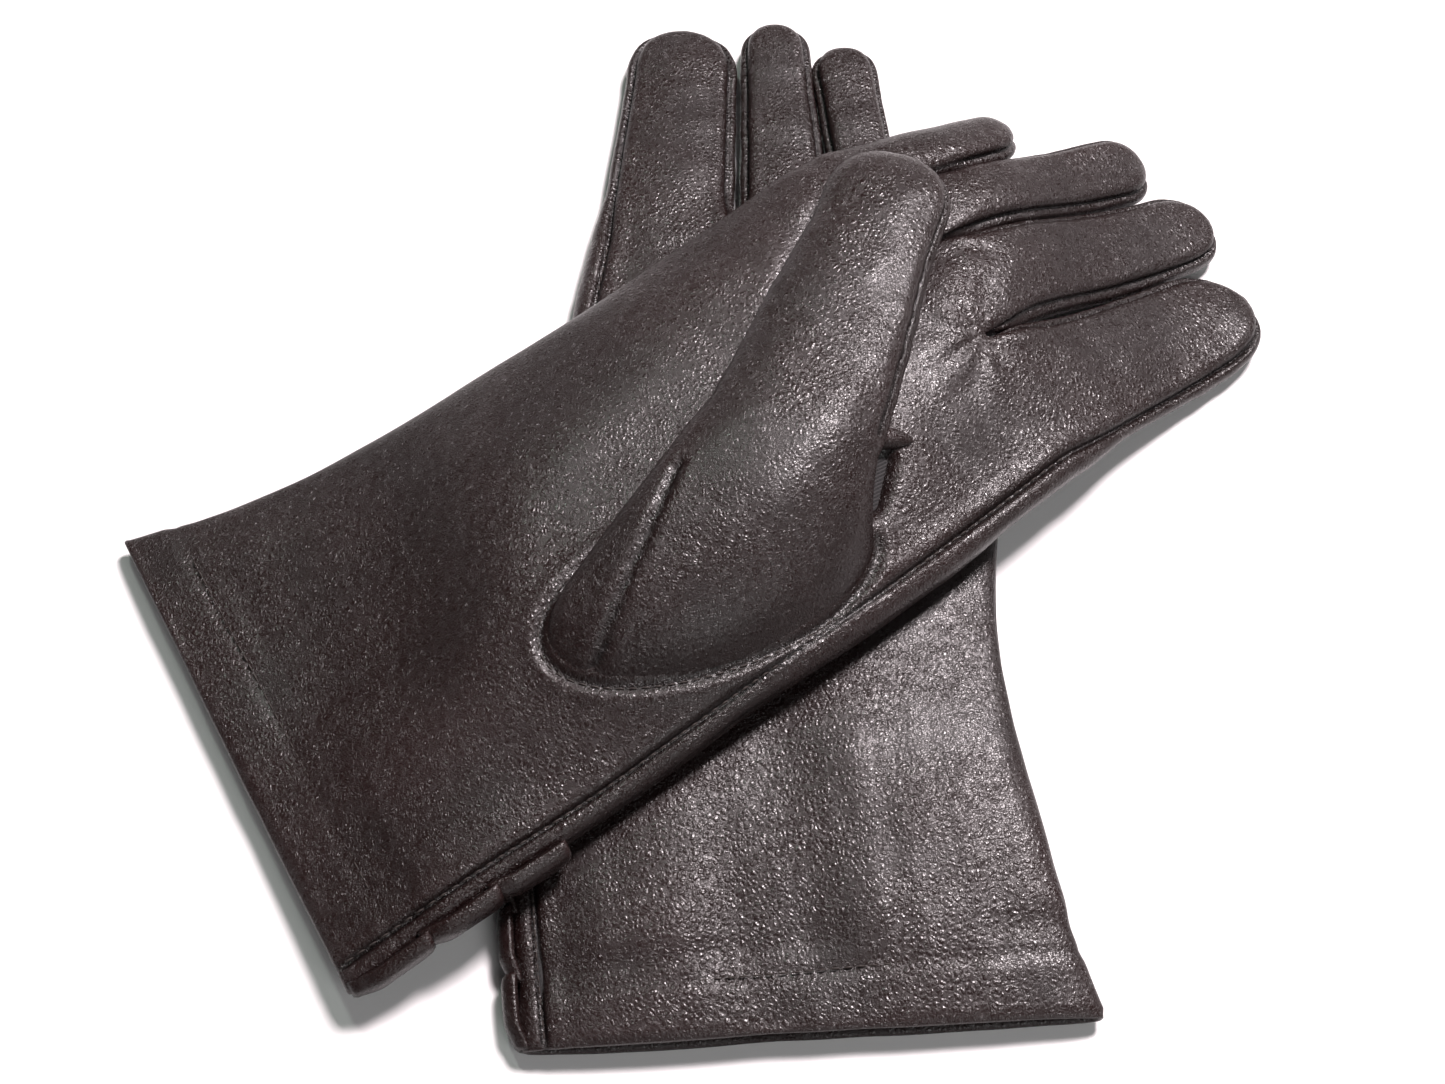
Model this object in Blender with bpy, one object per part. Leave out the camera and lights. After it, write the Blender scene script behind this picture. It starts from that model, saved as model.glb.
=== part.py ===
"""A pair of short lined leather dress gloves, palms up, with the right glove lying across the left one.

Each glove is modelled flat in its own coordinates, in millimetres:
along runs from the cuff edge to the fingertips, across runs from the index side (negative) to the
little-finger side (positive), and up is the height over the surface that the glove lies on.
place() then bends, mirrors, turns and drapes it into the pair's frame, in metres.
"""

import math

import bmesh
import bpy
from mathutils import Vector

# ---------------------------------------------------------------- driving dimensions, millimetres
LEATHER = 1.0
LINING = 0.8
LAYER_GAP = 0.5
SEAM_GAP = 0.3
FOURCHETTE_GAP = 0.7
JOINT_GAP = 0.25
CUT_SPARE = 3.0
CUT_STEP = 0.03

HAND_LENGTH = 188.0
CUFF_INDEX_EDGE = {"right": -61.3, "left": -59.0}
KNUCKLE_INDEX_EDGE = -43.0
EDGE_TAPER_POWER = 1.7
FOLD_EDGE = 52.5
FOLD_WAIST = {"right": 6.0, "left": 3.5}
CUFF_FLARE = 4.0
CUFF_FLARE_LENGTH = 30.0
HAND_THICKNESS = {"right": 10.0, "left": 9.4}
HAND_STATIONS = (0.0, 12.0, 25.0, 40.0, 57.0, 74.0, 91.0, 108.0, 125.0, 142.0, 158.0, 174.0)
HAND_RING = 18
HAND_SQUARENESS = 3.2
FLAT_FROM = 0.88
SHORTEST_BAY = 1.0

HEM_LENGTH = 12.0

# Each finger: root and tip centre (along, across), half width at root and tip, root-to-hinge distance.
FINGERS = {
    "right": {
        "index": ((188.0, -25.0), (250.5, -22.5), (16.3, 12.6), 22.0),
        "middle": ((188.0, 5.0), (257.5, -0.6), (12.0, 10.2), 24.0),
        "ring": ((188.0, 26.8), (251.5, 18.8), (8.9, 8.2), 22.0),
        "little": ((180.0, 43.8), (226.0, 39.2), (7.9, 7.0), 24.0),
    },
    "left": {
        "index": ((188.0, -25.5), (252.0, -22.5), (15.4, 12.6), 22.0),
        "middle": ((188.0, 3.2), (253.5, -1.2), (11.4, 7.9), 24.0),
        "ring": ((188.0, 24.6), (246.5, 15.6), (8.9, 8.0), 29.0),
        "little": ((180.0, 43.4), (222.0, 38.6), (8.0, 7.4), 20.0),
    },
}
FINGER_ROOT_DEPTH = 12.0
FINGER_RING = 12
FINGER_SQUARENESS = 2.4
FINGER_THINNING = 0.12
FINGER_LIFT = 0.12
TIP_ROUNDING = 1.05
TIP_ANGLES = (0.0, 42.0, 74.0)
NEIGHBOURS = (("index", "middle"), ("middle", "ring"), ("ring", "little"))
FOURCHETTE_HEIGHT = 4.0
FOURCHETTE_REACH = 4.2
FOURCHETTE_LENGTH = 40.0
FOURCHETTE_FROM = 150.0

# The thumb lies over the palm: origin and direction of its centre line, in along and across.
THUMB_ORIGIN = (104.3, -33.5)
THUMB_TURN = math.radians(38.4)
THUMB_HINGE = 38.0
THUMB_LENGTH = {"right": 112.0, "left": 100.0}
THUMB_WIDTHS = ((0.0, 18.6), (0.35, 16.9), (0.68, 14.2))
THUMB_THICKNESS = {"right": 12.6, "left": 6.2}
THUMB_RING = 14
THUMB_HOLE = (101.3, -29.5)
THUMB_HOLE_HALVES = (37.0, 17.0)
THUMB_HOLE_TURN = math.radians(-8.0)
THUMB_OPENING_SCALE = 0.78
THUMB_ROOT_STEPS = 5
THUMB_FOOT_INSET = 1.0
THUMB_KNEE_REACH = 0.30
THUMB_KNEE_HEIGHT = 0.92
THUMB_TIP_UNDER = 10.0
QUIRK_LINE = 20.5
QUIRK_REAR = 60.0
QUIRK_WIDTH = 40.0
QUIRK_HEIGHT = (-5.0, 60.0)

TUCK_COUNT = 3
TUCK_LENGTH = 15.5
TUCK_OVERLAP = 2.0
TUCK_THICKNESS = 0.9
TUCK_ARC = (math.radians(161.0), math.radians(203.0))
TUCK_ARC_STEPS = 6
TUCK_START = 0.5
TUCK_SHARES = (0.0, 0.3, 0.82, 1.0)

THREAD_RADIUS = 0.4
THREAD_SIDES = 5
SIDE_SEAM_INSET = 4.0
THREAD_STEP = 9.0
THREAD_CLEARANCE = 0.15
SIDE_SEAM_ENDS = (2.0, 6.0)
THUMB_SEAM_ARC = (math.radians(-8.0), math.radians(172.0))
THUMB_SEAM_POINTS = 13
THUMB_SEAM_OUTSET = 0.5
HEM_SEAM_ACROSS = (-46.0, 44.0)
HEM_SEAM_INSET = 1.5
HEM_SEAM_LIFT = 0.4

# ---------------------------------------------------------------- how the two gloves lie
MM = 0.001
SHARPEST = math.radians(50.0)
PLACES = {
    "right": {
        "cuff": (-99.6, -64.1),
        "turn": math.radians(31.5),
        "mirror": 1.0,
        "bend": 0.0,
        "skew": 0.035,
    },
    "left": {
        "cuff": (23.9, -124.6),
        "turn": math.radians(98.0),
        "mirror": -1.0,
        "bend": math.radians(-9.0),
        "skew": -0.08,
    },
}
SKEW_LENGTH = 60.0
BEND_START = 35.0
BEND_LENGTH = 60.0
# The right glove climbs over the left hand, and over the left thumb inside the stack.
DRAPE_CENTRE_X = 15.4
DRAPE_FLAT_HALF = 53.0
DRAPE_RAMP = 54.0
DRAPE_HEIGHT = HAND_THICKNESS["left"] + 0.9
THUMB_RISE = THUMB_THICKNESS["left"] + 0.9
THUMB_RISE_FLAT = 19.0
THUMB_RISE_RAMP = 42.0

LEATHER_BROWN = (0.036, 0.022, 0.020, 1.0)
EDGE_BROWN = (0.050, 0.031, 0.028, 1.0)
LINING_GREY = (0.030, 0.028, 0.030, 1.0)
THREAD_BROWN = (0.045, 0.032, 0.028, 1.0)
LEATHER_ROUGHNESS = 0.42
EDGE_ROUGHNESS = 0.5
LINING_ROUGHNESS = 0.9
THREAD_ROUGHNESS = 0.7


# ---------------------------------------------------------------- placing
def bend(along, across, angle):
    """The glove's plan, bent in its own plane by an arc between its wrist and its palm."""
    if not angle or along < BEND_START:
        return along, across
    radius = BEND_LENGTH / angle
    turned = angle * min(1.0, (along - BEND_START) / BEND_LENGTH)
    past = max(0.0, along - BEND_START - BEND_LENGTH)
    centre_along = BEND_START + radius * math.sin(turned) + past * math.cos(turned)
    centre_across = radius * (1.0 - math.cos(turned)) + past * math.sin(turned)
    return centre_along - across * math.sin(turned), centre_across + across * math.cos(turned)


def on_table(side, along, across):
    """Table coordinates, in millimetres, of a point of one glove's plan."""
    where = PLACES[side]
    along += where["skew"] * across * max(0.0, 1.0 - max(0.0, along) / SKEW_LENGTH) ** 2
    along, across = bend(along, across, -where["bend"])
    across *= where["mirror"]
    cosine, sine = math.cos(where["turn"]), math.sin(where["turn"])
    x = where["cuff"][0] + along * cosine - across * sine
    y = where["cuff"][1] + along * sine + across * cosine
    return x, y


def ramp_down(distance, flat, ramp):
    """1 within the flat half width, falling to 0 over the ramp on a cosine."""
    share = min(1.0, max(0.0, (abs(distance) - flat) / ramp))
    return 0.5 + 0.5 * math.cos(math.pi * share)


def distance_to_segment(point, start, end):
    run = Vector(end) - Vector(start)
    share = (Vector(point) - Vector(start)).dot(run) / run.length_squared
    return (Vector(point) - Vector(start) - run * min(1.0, max(0.0, share))).length


def drape(x, y):
    """How far the right glove is lifted at a point of the table by the left glove under it."""
    root = on_table("left", *THUMB_HOLE)
    tip = on_table("left", *thumb_point(THUMB_LENGTH["left"] - THUMB_TIP_UNDER, 0.0))
    near = distance_to_segment((x, y), root, tip)
    rise = THUMB_RISE * ramp_down(near, THUMB_RISE_FLAT, THUMB_RISE_RAMP)
    return (DRAPE_HEIGHT + rise) * ramp_down(x - DRAPE_CENTRE_X, DRAPE_FLAT_HALF, DRAPE_RAMP)


def place(side, point):
    """The spot of one of a glove's points in the pair, in millimetres."""
    along, across, up = point
    x, y = on_table(side, along, across)
    if side == "right":
        up += drape(x, y)
    return Vector((x, y, up))


# ---------------------------------------------------------------- outlines
def superellipse(half_width, half_height, count, power):
    """Points around a rounded box section, from the positive side round over the top."""
    points = []
    for step in range(count):
        cosine, sine = math.cos(math.tau * step / count), math.sin(math.tau * step / count)
        wide = math.copysign(abs(cosine) ** (2.0 / power), cosine) * half_width
        high = math.copysign(abs(sine) ** (2.0 / power), sine) * half_height
        points.append((wide, high))
    return points


def hand_edges(side, along):
    """The index-side and the folded edge of the hand at one station."""
    share = min(1.0, max(0.0, along / HAND_LENGTH))
    cuff_edge = CUFF_INDEX_EDGE[side]
    index_edge = cuff_edge + (KNUCKLE_INDEX_EDGE - cuff_edge) * share**EDGE_TAPER_POWER
    flare = CUFF_FLARE * max(0.0, 1.0 - max(0.0, along) / CUFF_FLARE_LENGTH) ** 2
    waist = FOLD_WAIST[side] * math.sin(math.pi * share) ** 2
    return index_edge, FOLD_EDGE + flare - waist


def palm_height(side, along, across):
    """Height of the palm's leather, which is crowned between the two edges."""
    low, high = hand_edges(side, along)
    share = min(1.0, abs(across - (low + high) / 2.0) / ((high - low) / 2.0))
    crown = (1.0 - share**HAND_SQUARENESS) ** (1.0 / HAND_SQUARENESS)
    return HAND_THICKNESS[side] / 2.0 * (1.0 + crown)


def hand_ring(side, along, inset):
    """One section of the hand, flat where it lies, inset by the layers outside it."""
    low, high = hand_edges(side, along)
    thickness = HAND_THICKNESS[side]
    half_height = thickness / 2.0 - inset
    ring = []
    half = (high - low) / 2.0 - inset
    for wide, lift in superellipse(half, half_height, HAND_RING, HAND_SQUARENESS):
        height = inset if lift < -FLAT_FROM * half_height else thickness / 2.0 + lift
        ring.append((along, (low + high) / 2.0 + wide, height))
    return ring


def hand_solid(name, side, inset, start, end):
    between = [along for along in HAND_STATIONS if start + SHORTEST_BAY < along < end]
    stations = [start] + between + [end]
    return loft(name, side, [hand_ring(side, along, inset) for along in stations])


class Limb:
    """A finger or a thumb: a tapering rounded tube along a straight centre line, closed at its tip."""

    def __init__(self, side, root, direction, length, widths, thickness, floor, ring, lift):
        self.side = side
        self.root = Vector(root)
        self.length = length
        self.direction = Vector(direction).normalized()
        self.sideways = Vector((-self.direction.y, self.direction.x))
        self.widths = widths
        self.thickness = thickness
        self.floor = floor
        self.ring_count = ring
        self.lift = lift

    def half_width(self, distance):
        """Straight runs between the given widths, as (share of the length, half width)."""
        share = distance / self.length
        for (near, wide), (far, narrow) in zip(self.widths, self.widths[1:]):
            if share <= far:
                return wide + (narrow - wide) * (share - near) / (far - near)
        return self.widths[-1][1]

    def plan(self, distance, sideways):
        return self.root + self.direction * distance + self.sideways * sideways

    def height_at(self, distance):
        return self.thickness * (1.0 - FINGER_THINNING * max(0.0, distance) / self.length)

    def ring(self, distance, inset, shrink=1.0):
        high = self.height_at(distance)
        half = self.half_width(distance) - inset
        ring = []
        tall = (high / 2.0 - inset) * shrink
        for wide, lift in superellipse(half * shrink, tall, self.ring_count, FINGER_SQUARENESS):
            spot = self.plan(distance, wide)
            ring.append((spot.x, spot.y, self.floor + self.lift + high / 2.0 + lift))
        return ring

    def tip_rings(self, inset):
        """Sections of the rounded tip, shrinking on a quarter ellipse."""
        reach = self.widths[-1][1] * TIP_ROUNDING
        start = self.length - reach
        rings = []
        for angle in TIP_ANGLES:
            turn = math.radians(angle)
            rings.append(self.ring(start + (reach - inset) * math.sin(turn), inset, math.cos(turn)))
        return rings

    def cup(self, name, start, outside, thickness):
        """A shell open at start and closed round the tip."""
        middle = (start + self.length - self.widths[-1][1] * TIP_ROUNDING) / 2.0
        outer = [self.ring(start, outside), self.ring(middle, outside)] + self.tip_rings(outside)
        deep = outside + thickness
        inner = [self.ring(start, deep), self.ring(middle, deep)] + self.tip_rings(deep)
        return loft(name, self.side, outer[::-1] + inner)


def finger_limb(side, finger):
    root, tip, halves, _ = FINGERS[side][finger]
    run = Vector(tip) - Vector(root)
    widths = ((-1.0, halves[0]), (0.0, halves[0]), (1.0, halves[1]))
    thickness = HAND_THICKNESS[side] - 2.0 * FINGER_LIFT
    return Limb(side, root, run, run.length, widths, thickness, 0.0, FINGER_RING, FINGER_LIFT)


def thumb_limb(side):
    direction = (math.cos(THUMB_TURN), math.sin(THUMB_TURN))
    root = Vector(THUMB_ORIGIN) + Vector(direction) * THUMB_HINGE
    length = THUMB_LENGTH[side] - THUMB_HINGE
    floor = HAND_THICKNESS[side] + LAYER_GAP
    thickness = THUMB_THICKNESS[side]
    return Limb(side, root, direction, length, THUMB_WIDTHS, thickness, floor, THUMB_RING, 0.0)


def thumb_point(distance, sideways):
    """Plan point at a distance along the thumb's centre line and sideways from it."""
    along = THUMB_ORIGIN[0] + distance * math.cos(THUMB_TURN) - sideways * math.sin(THUMB_TURN)
    across = THUMB_ORIGIN[1] + distance * math.sin(THUMB_TURN) + sideways * math.cos(THUMB_TURN)
    return along, across


# ---------------------------------------------------------------- solids
def face_outwards(shape):
    bmesh.ops.recalc_face_normals(shape, faces=shape.faces)
    if shape.calc_volume(signed=True) < 0.0:
        bmesh.ops.reverse_faces(shape, faces=shape.faces)


def finish_mesh(name, shape):
    face_outwards(shape)
    mesh = bpy.data.meshes.new(name)
    shape.to_mesh(mesh)
    shape.free()
    solid = bpy.data.objects.new(name, mesh)
    bpy.context.scene.collection.objects.link(solid)
    return solid


def loft(name, side, rings, closed=False):
    """A skin through rings of equal count, capped at both ends or closed on itself.

    Every four-sided bay is halved the same way, whichever order the rings come in, so that the
    layers of a glove stay parallel.
    """
    shape = bmesh.new()
    loops = [[shape.verts.new(place(side, point)) for point in ring] for ring in rings]
    bays = list(zip(range(len(rings)), range(1, len(rings))))
    if closed:
        bays.append((len(rings) - 1, 0))
    for first, second in bays:
        if rings[first][0][0] > rings[second][0][0]:
            first, second = second, first
        near, far = loops[first], loops[second]
        for step in range(len(near)):
            shape.faces.new((near[step - 1], near[step], far[step]))
            shape.faces.new((near[step - 1], far[step], far[step - 1]))
    if not closed:
        shape.faces.new(loops[0])
        shape.faces.new(loops[-1])
    return finish_mesh(name, shape)


def box(name, side, corner, size, turn=0.0):
    """A box from one corner, turned in the glove's plan about that corner."""
    shape = bmesh.new()
    bmesh.ops.create_cube(shape, size=1.0)
    cosine, sine = math.cos(turn), math.sin(turn)
    for vertex in shape.verts:
        along = (vertex.co.x + 0.5) * size[0]
        across = (vertex.co.y + 0.5) * size[1]
        height = corner[2] + (vertex.co.z + 0.5) * size[2]
        turned_along = corner[0] + along * cosine - across * sine
        turned_across = corner[1] + along * sine + across * cosine
        vertex.co = place(side, (turned_along, turned_across, height))
    bmesh.ops.triangulate(shape, faces=shape.faces)
    return finish_mesh(name, shape)


def thread(name, side, path):
    """A round thread along a path of points."""
    rings = []
    last = len(path) - 1
    for step, point in enumerate(path):
        before = Vector(path[max(0, step - 1)])
        after = Vector(path[min(last, step + 1)])
        ahead = (after - before).normalized()
        sideways = ahead.cross(Vector((0.0, 0.0, 1.0))).normalized()
        upwards = sideways.cross(ahead)
        ring = []
        for corner in range(THREAD_SIDES):
            turn = math.tau * corner / THREAD_SIDES
            offset = sideways * math.cos(turn) + upwards * math.sin(turn)
            ring.append(tuple(Vector(point) + offset * THREAD_RADIUS))
        rings.append(ring)
    return loft(name, side, rings)


def boolean(target, operation, others):
    """Adds, cuts or keeps the shapes of other solids, and takes those away."""
    for other in others:
        modifier = target.modifiers.new(other.name, "BOOLEAN")
        modifier.object = other
        modifier.operation = operation
        modifier.solver = "EXACT"
        graph = bpy.context.evaluated_depsgraph_get()
        target.data = bpy.data.meshes.new_from_object(target.evaluated_get(graph))
        target.modifiers.clear()
        bpy.data.objects.remove(other)
    return target


# ---------------------------------------------------------------- materials
def surface(name, colour, roughness):
    material = bpy.data.materials.new(name)
    material.use_nodes = True
    shader = material.node_tree.nodes["Principled BSDF"]
    shader.inputs["Base Color"].default_value = colour
    shader.inputs["Roughness"].default_value = roughness
    shader.inputs["Metallic"].default_value = 0.0
    return material


def settle(solid, material):
    """Gives a finished solid its material and its size in metres."""
    shape = bmesh.new()
    shape.from_mesh(solid.data)
    bmesh.ops.triangulate(shape, faces=shape.faces)
    face_outwards(shape)
    bmesh.ops.scale(shape, vec=(MM, MM, MM), verts=shape.verts)
    shape.to_mesh(solid.data)
    shape.free()
    solid.data.materials.clear()
    solid.data.materials.append(material)
    solid.data.shade_smooth()
    solid.data.set_sharp_from_angle(angle=SHARPEST)
    return solid


# ---------------------------------------------------------------- the pieces of one glove
def glove_shell(name, side, outside, thickness, start):
    """The hand and the lower halves of the four fingers as one open skin."""
    deep = outside + thickness
    shell = hand_solid(name, side, outside, start, HAND_LENGTH - outside)
    tubes = []
    hollows = [hand_solid("hand_hollow", side, deep, start - CUT_SPARE, HAND_LENGTH - deep)]
    for finger in FINGERS[side]:
        limb = finger_limb(side, finger)
        hinge = FINGERS[side][finger][3] - JOINT_GAP
        tube_at = (outside - FINGER_ROOT_DEPTH, hinge / 2.0, hinge)
        hollow_at = (deep - FINGER_ROOT_DEPTH, hinge / 2.0, hinge - CUT_STEP, hinge + CUT_SPARE)
        tubes.append(loft("tube_" + finger, side, [limb.ring(at, outside) for at in tube_at]))
        hollows.append(loft("hollow_" + finger, side, [limb.ring(at, deep) for at in hollow_at]))
    return boolean(boolean(shell, "UNION", tubes), "DIFFERENCE", hollows)


def crotch_box(name, side, pair, spare):
    """The space of one fourchette: a low band round the crotch between two fingers."""
    near, far = (finger_limb(side, finger) for finger in pair)
    start = HAND_LENGTH - 2.0 * LEATHER
    near_edge = near.plan(0.0, near.half_width(0.0)).y
    far_edge = far.plan(0.0, -far.half_width(0.0)).y
    aim = (near.direction + far.direction).normalized()
    turn = math.atan2(aim.y, aim.x)
    floor = (HAND_THICKNESS[side] - FOURCHETTE_HEIGHT) / 2.0 - spare
    sideways = Vector((-aim.y, aim.x)) * FOURCHETTE_REACH
    corner = (start - sideways.x, (near_edge + far_edge) / 2.0 - sideways.y, floor)
    size = (FOURCHETTE_LENGTH, 2.0 * FOURCHETTE_REACH, FOURCHETTE_HEIGHT + 2.0 * spare)
    return box(name, side, corner, size, turn)


def palm_hole(side):
    """The oval that the thumb is set into, cut straight down through the palm only."""
    rings = []
    for height in (HAND_THICKNESS[side] / 2.0, HAND_THICKNESS[side] + CUT_SPARE):
        ring = [(*oval_point(turn, THUMB_OPENING_SCALE), height) for turn in ring_turns(THUMB_RING)]
        rings.append(ring)
    return loft("palm_hole", side, rings)


def ring_turns(count):
    return [math.tau * step / count for step in range(count)]


def oval_point(turn, scale=1.0, spare=0.0):
    """A plan point of the thumb's oval seam, with turn measured from the thumb's sideways direction."""
    facing = THUMB_TURN + math.pi / 2.0 + turn - THUMB_HOLE_TURN
    wide = (THUMB_HOLE_HALVES[0] * scale + spare) * math.cos(facing)
    high = (THUMB_HOLE_HALVES[1] * scale + spare) * math.sin(facing)
    cosine, sine = math.cos(THUMB_HOLE_TURN), math.sin(THUMB_HOLE_TURN)
    return THUMB_HOLE[0] + wide * cosine - high * sine, THUMB_HOLE[1] + wide * sine + high * cosine


def thumb_root_ring(side, share, inset):
    """One section of the thumb's root, from the oval seam (0) to the upright hinge section (1)."""
    limb = thumb_limb(side)
    upright = limb.ring(-2.0 * JOINT_GAP, inset)
    ring = []
    for turn, above in zip(ring_turns(THUMB_RING), upright):
        seam = oval_point(turn, 1.0, -inset - THUMB_FOOT_INSET)
        foot = Vector((*seam, palm_height(side, *seam) + LAYER_GAP))
        above = Vector(above)
        knee = foot.lerp(above, THUMB_KNEE_REACH)
        knee.z = foot.z + (above.z - foot.z) * THUMB_KNEE_HEIGHT
        spot = foot * (1.0 - share) ** 2 + knee * 2.0 * share * (1.0 - share) + above * share**2
        ring.append(tuple(spot))
    return ring


def thumb_root_shell(name, side):
    shares = [step / (THUMB_ROOT_STEPS - 1) for step in range(THUMB_ROOT_STEPS)]
    outer = [thumb_root_ring(side, share, 0.0) for share in shares]
    inner = [thumb_root_ring(side, share, LEATHER) for share in reversed(shares)]
    return loft(name, side, outer + inner, closed=True)


def quirk_space(side, spare):
    """Everything on the little-finger side of the quirk's seam."""
    corner = thumb_point(-QUIRK_REAR, QUIRK_LINE - spare)
    floor, tall = QUIRK_HEIGHT
    size = (THUMB_HINGE + QUIRK_REAR - SHORTEST_BAY, QUIRK_WIDTH, tall)
    return box("quirk_space", side, (*corner, floor), size, THUMB_TURN)


def tuck_section(along, side, offset, thickness):
    """A strip of leather round the index edge of the back, as a closed outline."""
    low, high = hand_edges(side, along)
    middle, half = (low + high) / 2.0, (high - low) / 2.0
    tall = HAND_THICKNESS[side] / 2.0
    outline = []
    sweep = TUCK_ARC[1] - TUCK_ARC[0]
    turns = [TUCK_ARC[0] + sweep * step / TUCK_ARC_STEPS for step in range(TUCK_ARC_STEPS + 1)]
    for reach, order in ((offset + thickness, 1), (offset, -1)):
        for turn in turns[::order]:
            cosine, sine = math.cos(turn), math.sin(turn)
            wide = math.copysign(abs(cosine) ** (2.0 / HAND_SQUARENESS), cosine) * (half + reach)
            rise = math.copysign(abs(sine) ** (2.0 / HAND_SQUARENESS), sine) * (tall + reach)
            outline.append((along, middle + wide, tall + rise))
    return outline


def tuck(name, side, number):
    start = TUCK_START + number * TUCK_LENGTH
    end = start + TUCK_LENGTH + TUCK_OVERLAP
    under = LAYER_GAP
    over = under + TUCK_THICKNESS + SEAM_GAP
    rings = []
    for share, lift in zip(TUCK_SHARES, (under, under, over, over)):
        rings.append(tuck_section(start + (end - start) * share, side, lift, TUCK_THICKNESS))
    return loft(name, side, rings)


def side_seam_path(side):
    """Along the palm, just inside the index edge."""
    path = []
    along = SIDE_SEAM_ENDS[0]
    while along < HAND_LENGTH - SIDE_SEAM_ENDS[1]:
        across = hand_edges(side, along)[0] + SIDE_SEAM_INSET
        path.append((along, across, palm_height(side, along, across) + SEAM_GAP + THREAD_RADIUS))
        along += THREAD_STEP
    return path


def thumb_seam_path(side):
    """Round the rear of the oval, where the thumb doesn't cover its seam."""
    path = []
    sweep = THUMB_SEAM_ARC[1] - THUMB_SEAM_ARC[0]
    lift = SEAM_GAP + THREAD_RADIUS + THREAD_CLEARANCE
    for step in range(THUMB_SEAM_POINTS):
        turn = THUMB_SEAM_ARC[0] + sweep * step / (THUMB_SEAM_POINTS - 1)
        seam = oval_point(turn, 1.0, THUMB_SEAM_OUTSET)
        path.append((*seam, palm_height(side, *seam) + lift))
    return path


def hem_seam_path(side):
    path = []
    across, last = HEM_SEAM_ACROSS
    lift = SEAM_GAP + THREAD_RADIUS + HEM_SEAM_LIFT
    while across <= last:
        height = palm_height(side, HEM_LENGTH, across) + lift
        path.append((HEM_LENGTH - HEM_SEAM_INSET, across, height))
        across += THREAD_STEP
    return path


def hem_band(name, side):
    """The cuff edge turned inside, as a band of leather against the inner face."""
    stations = [along for along in HAND_STATIONS if along <= HEM_LENGTH]
    outside, deep = LEATHER + LAYER_GAP, LEATHER + LAYER_GAP + LINING
    outer = [hand_ring(side, along, outside) for along in stations]
    inner = [hand_ring(side, along, deep) for along in reversed(stations)]
    return loft(name, side, outer + inner, closed=True)


# ---------------------------------------------------------------- joints
def hinge_empty(name, side, limb, solids):
    """An empty on the crease where a limb bends: X along the axis, so that a turn about X lifts the tip."""
    top = limb.floor + limb.lift + limb.height_at(0.0) + JOINT_GAP
    half = limb.half_width(0.0)
    ends = [place(side, (*limb.plan(0.0, reach), top)) for reach in (half, -half)]
    if PLACES[side]["mirror"] < 0.0:
        ends.reverse()
    centre = (ends[0] + ends[1]) / 2.0 * MM
    sideways = (ends[1] - ends[0]).normalized()
    empty = bpy.data.objects.new(name, None)
    bpy.context.scene.collection.objects.link(empty)
    empty.rotation_mode = "QUATERNION"
    empty.rotation_quaternion = sideways.to_track_quat("X", "Z")
    empty.location = centre
    hang(empty, solids)
    return empty


def hang(empty, solids):
    bpy.context.view_layer.update()
    for solid in solids:
        solid.parent = empty
        solid.matrix_parent_inverse = empty.matrix_world.inverted()


def lined_limb(side, name, limb, leather, lining):
    """The moving end of a finger or thumb: its leather, and the lining inside it."""
    cover = limb.cup(f"{side}_{name}", JOINT_GAP, 0.0, LEATHER)
    inside = limb.cup(f"{side}_{name}_lining", JOINT_GAP, LEATHER + LAYER_GAP, LINING)
    return [settle(cover, leather), settle(inside, lining)]


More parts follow.
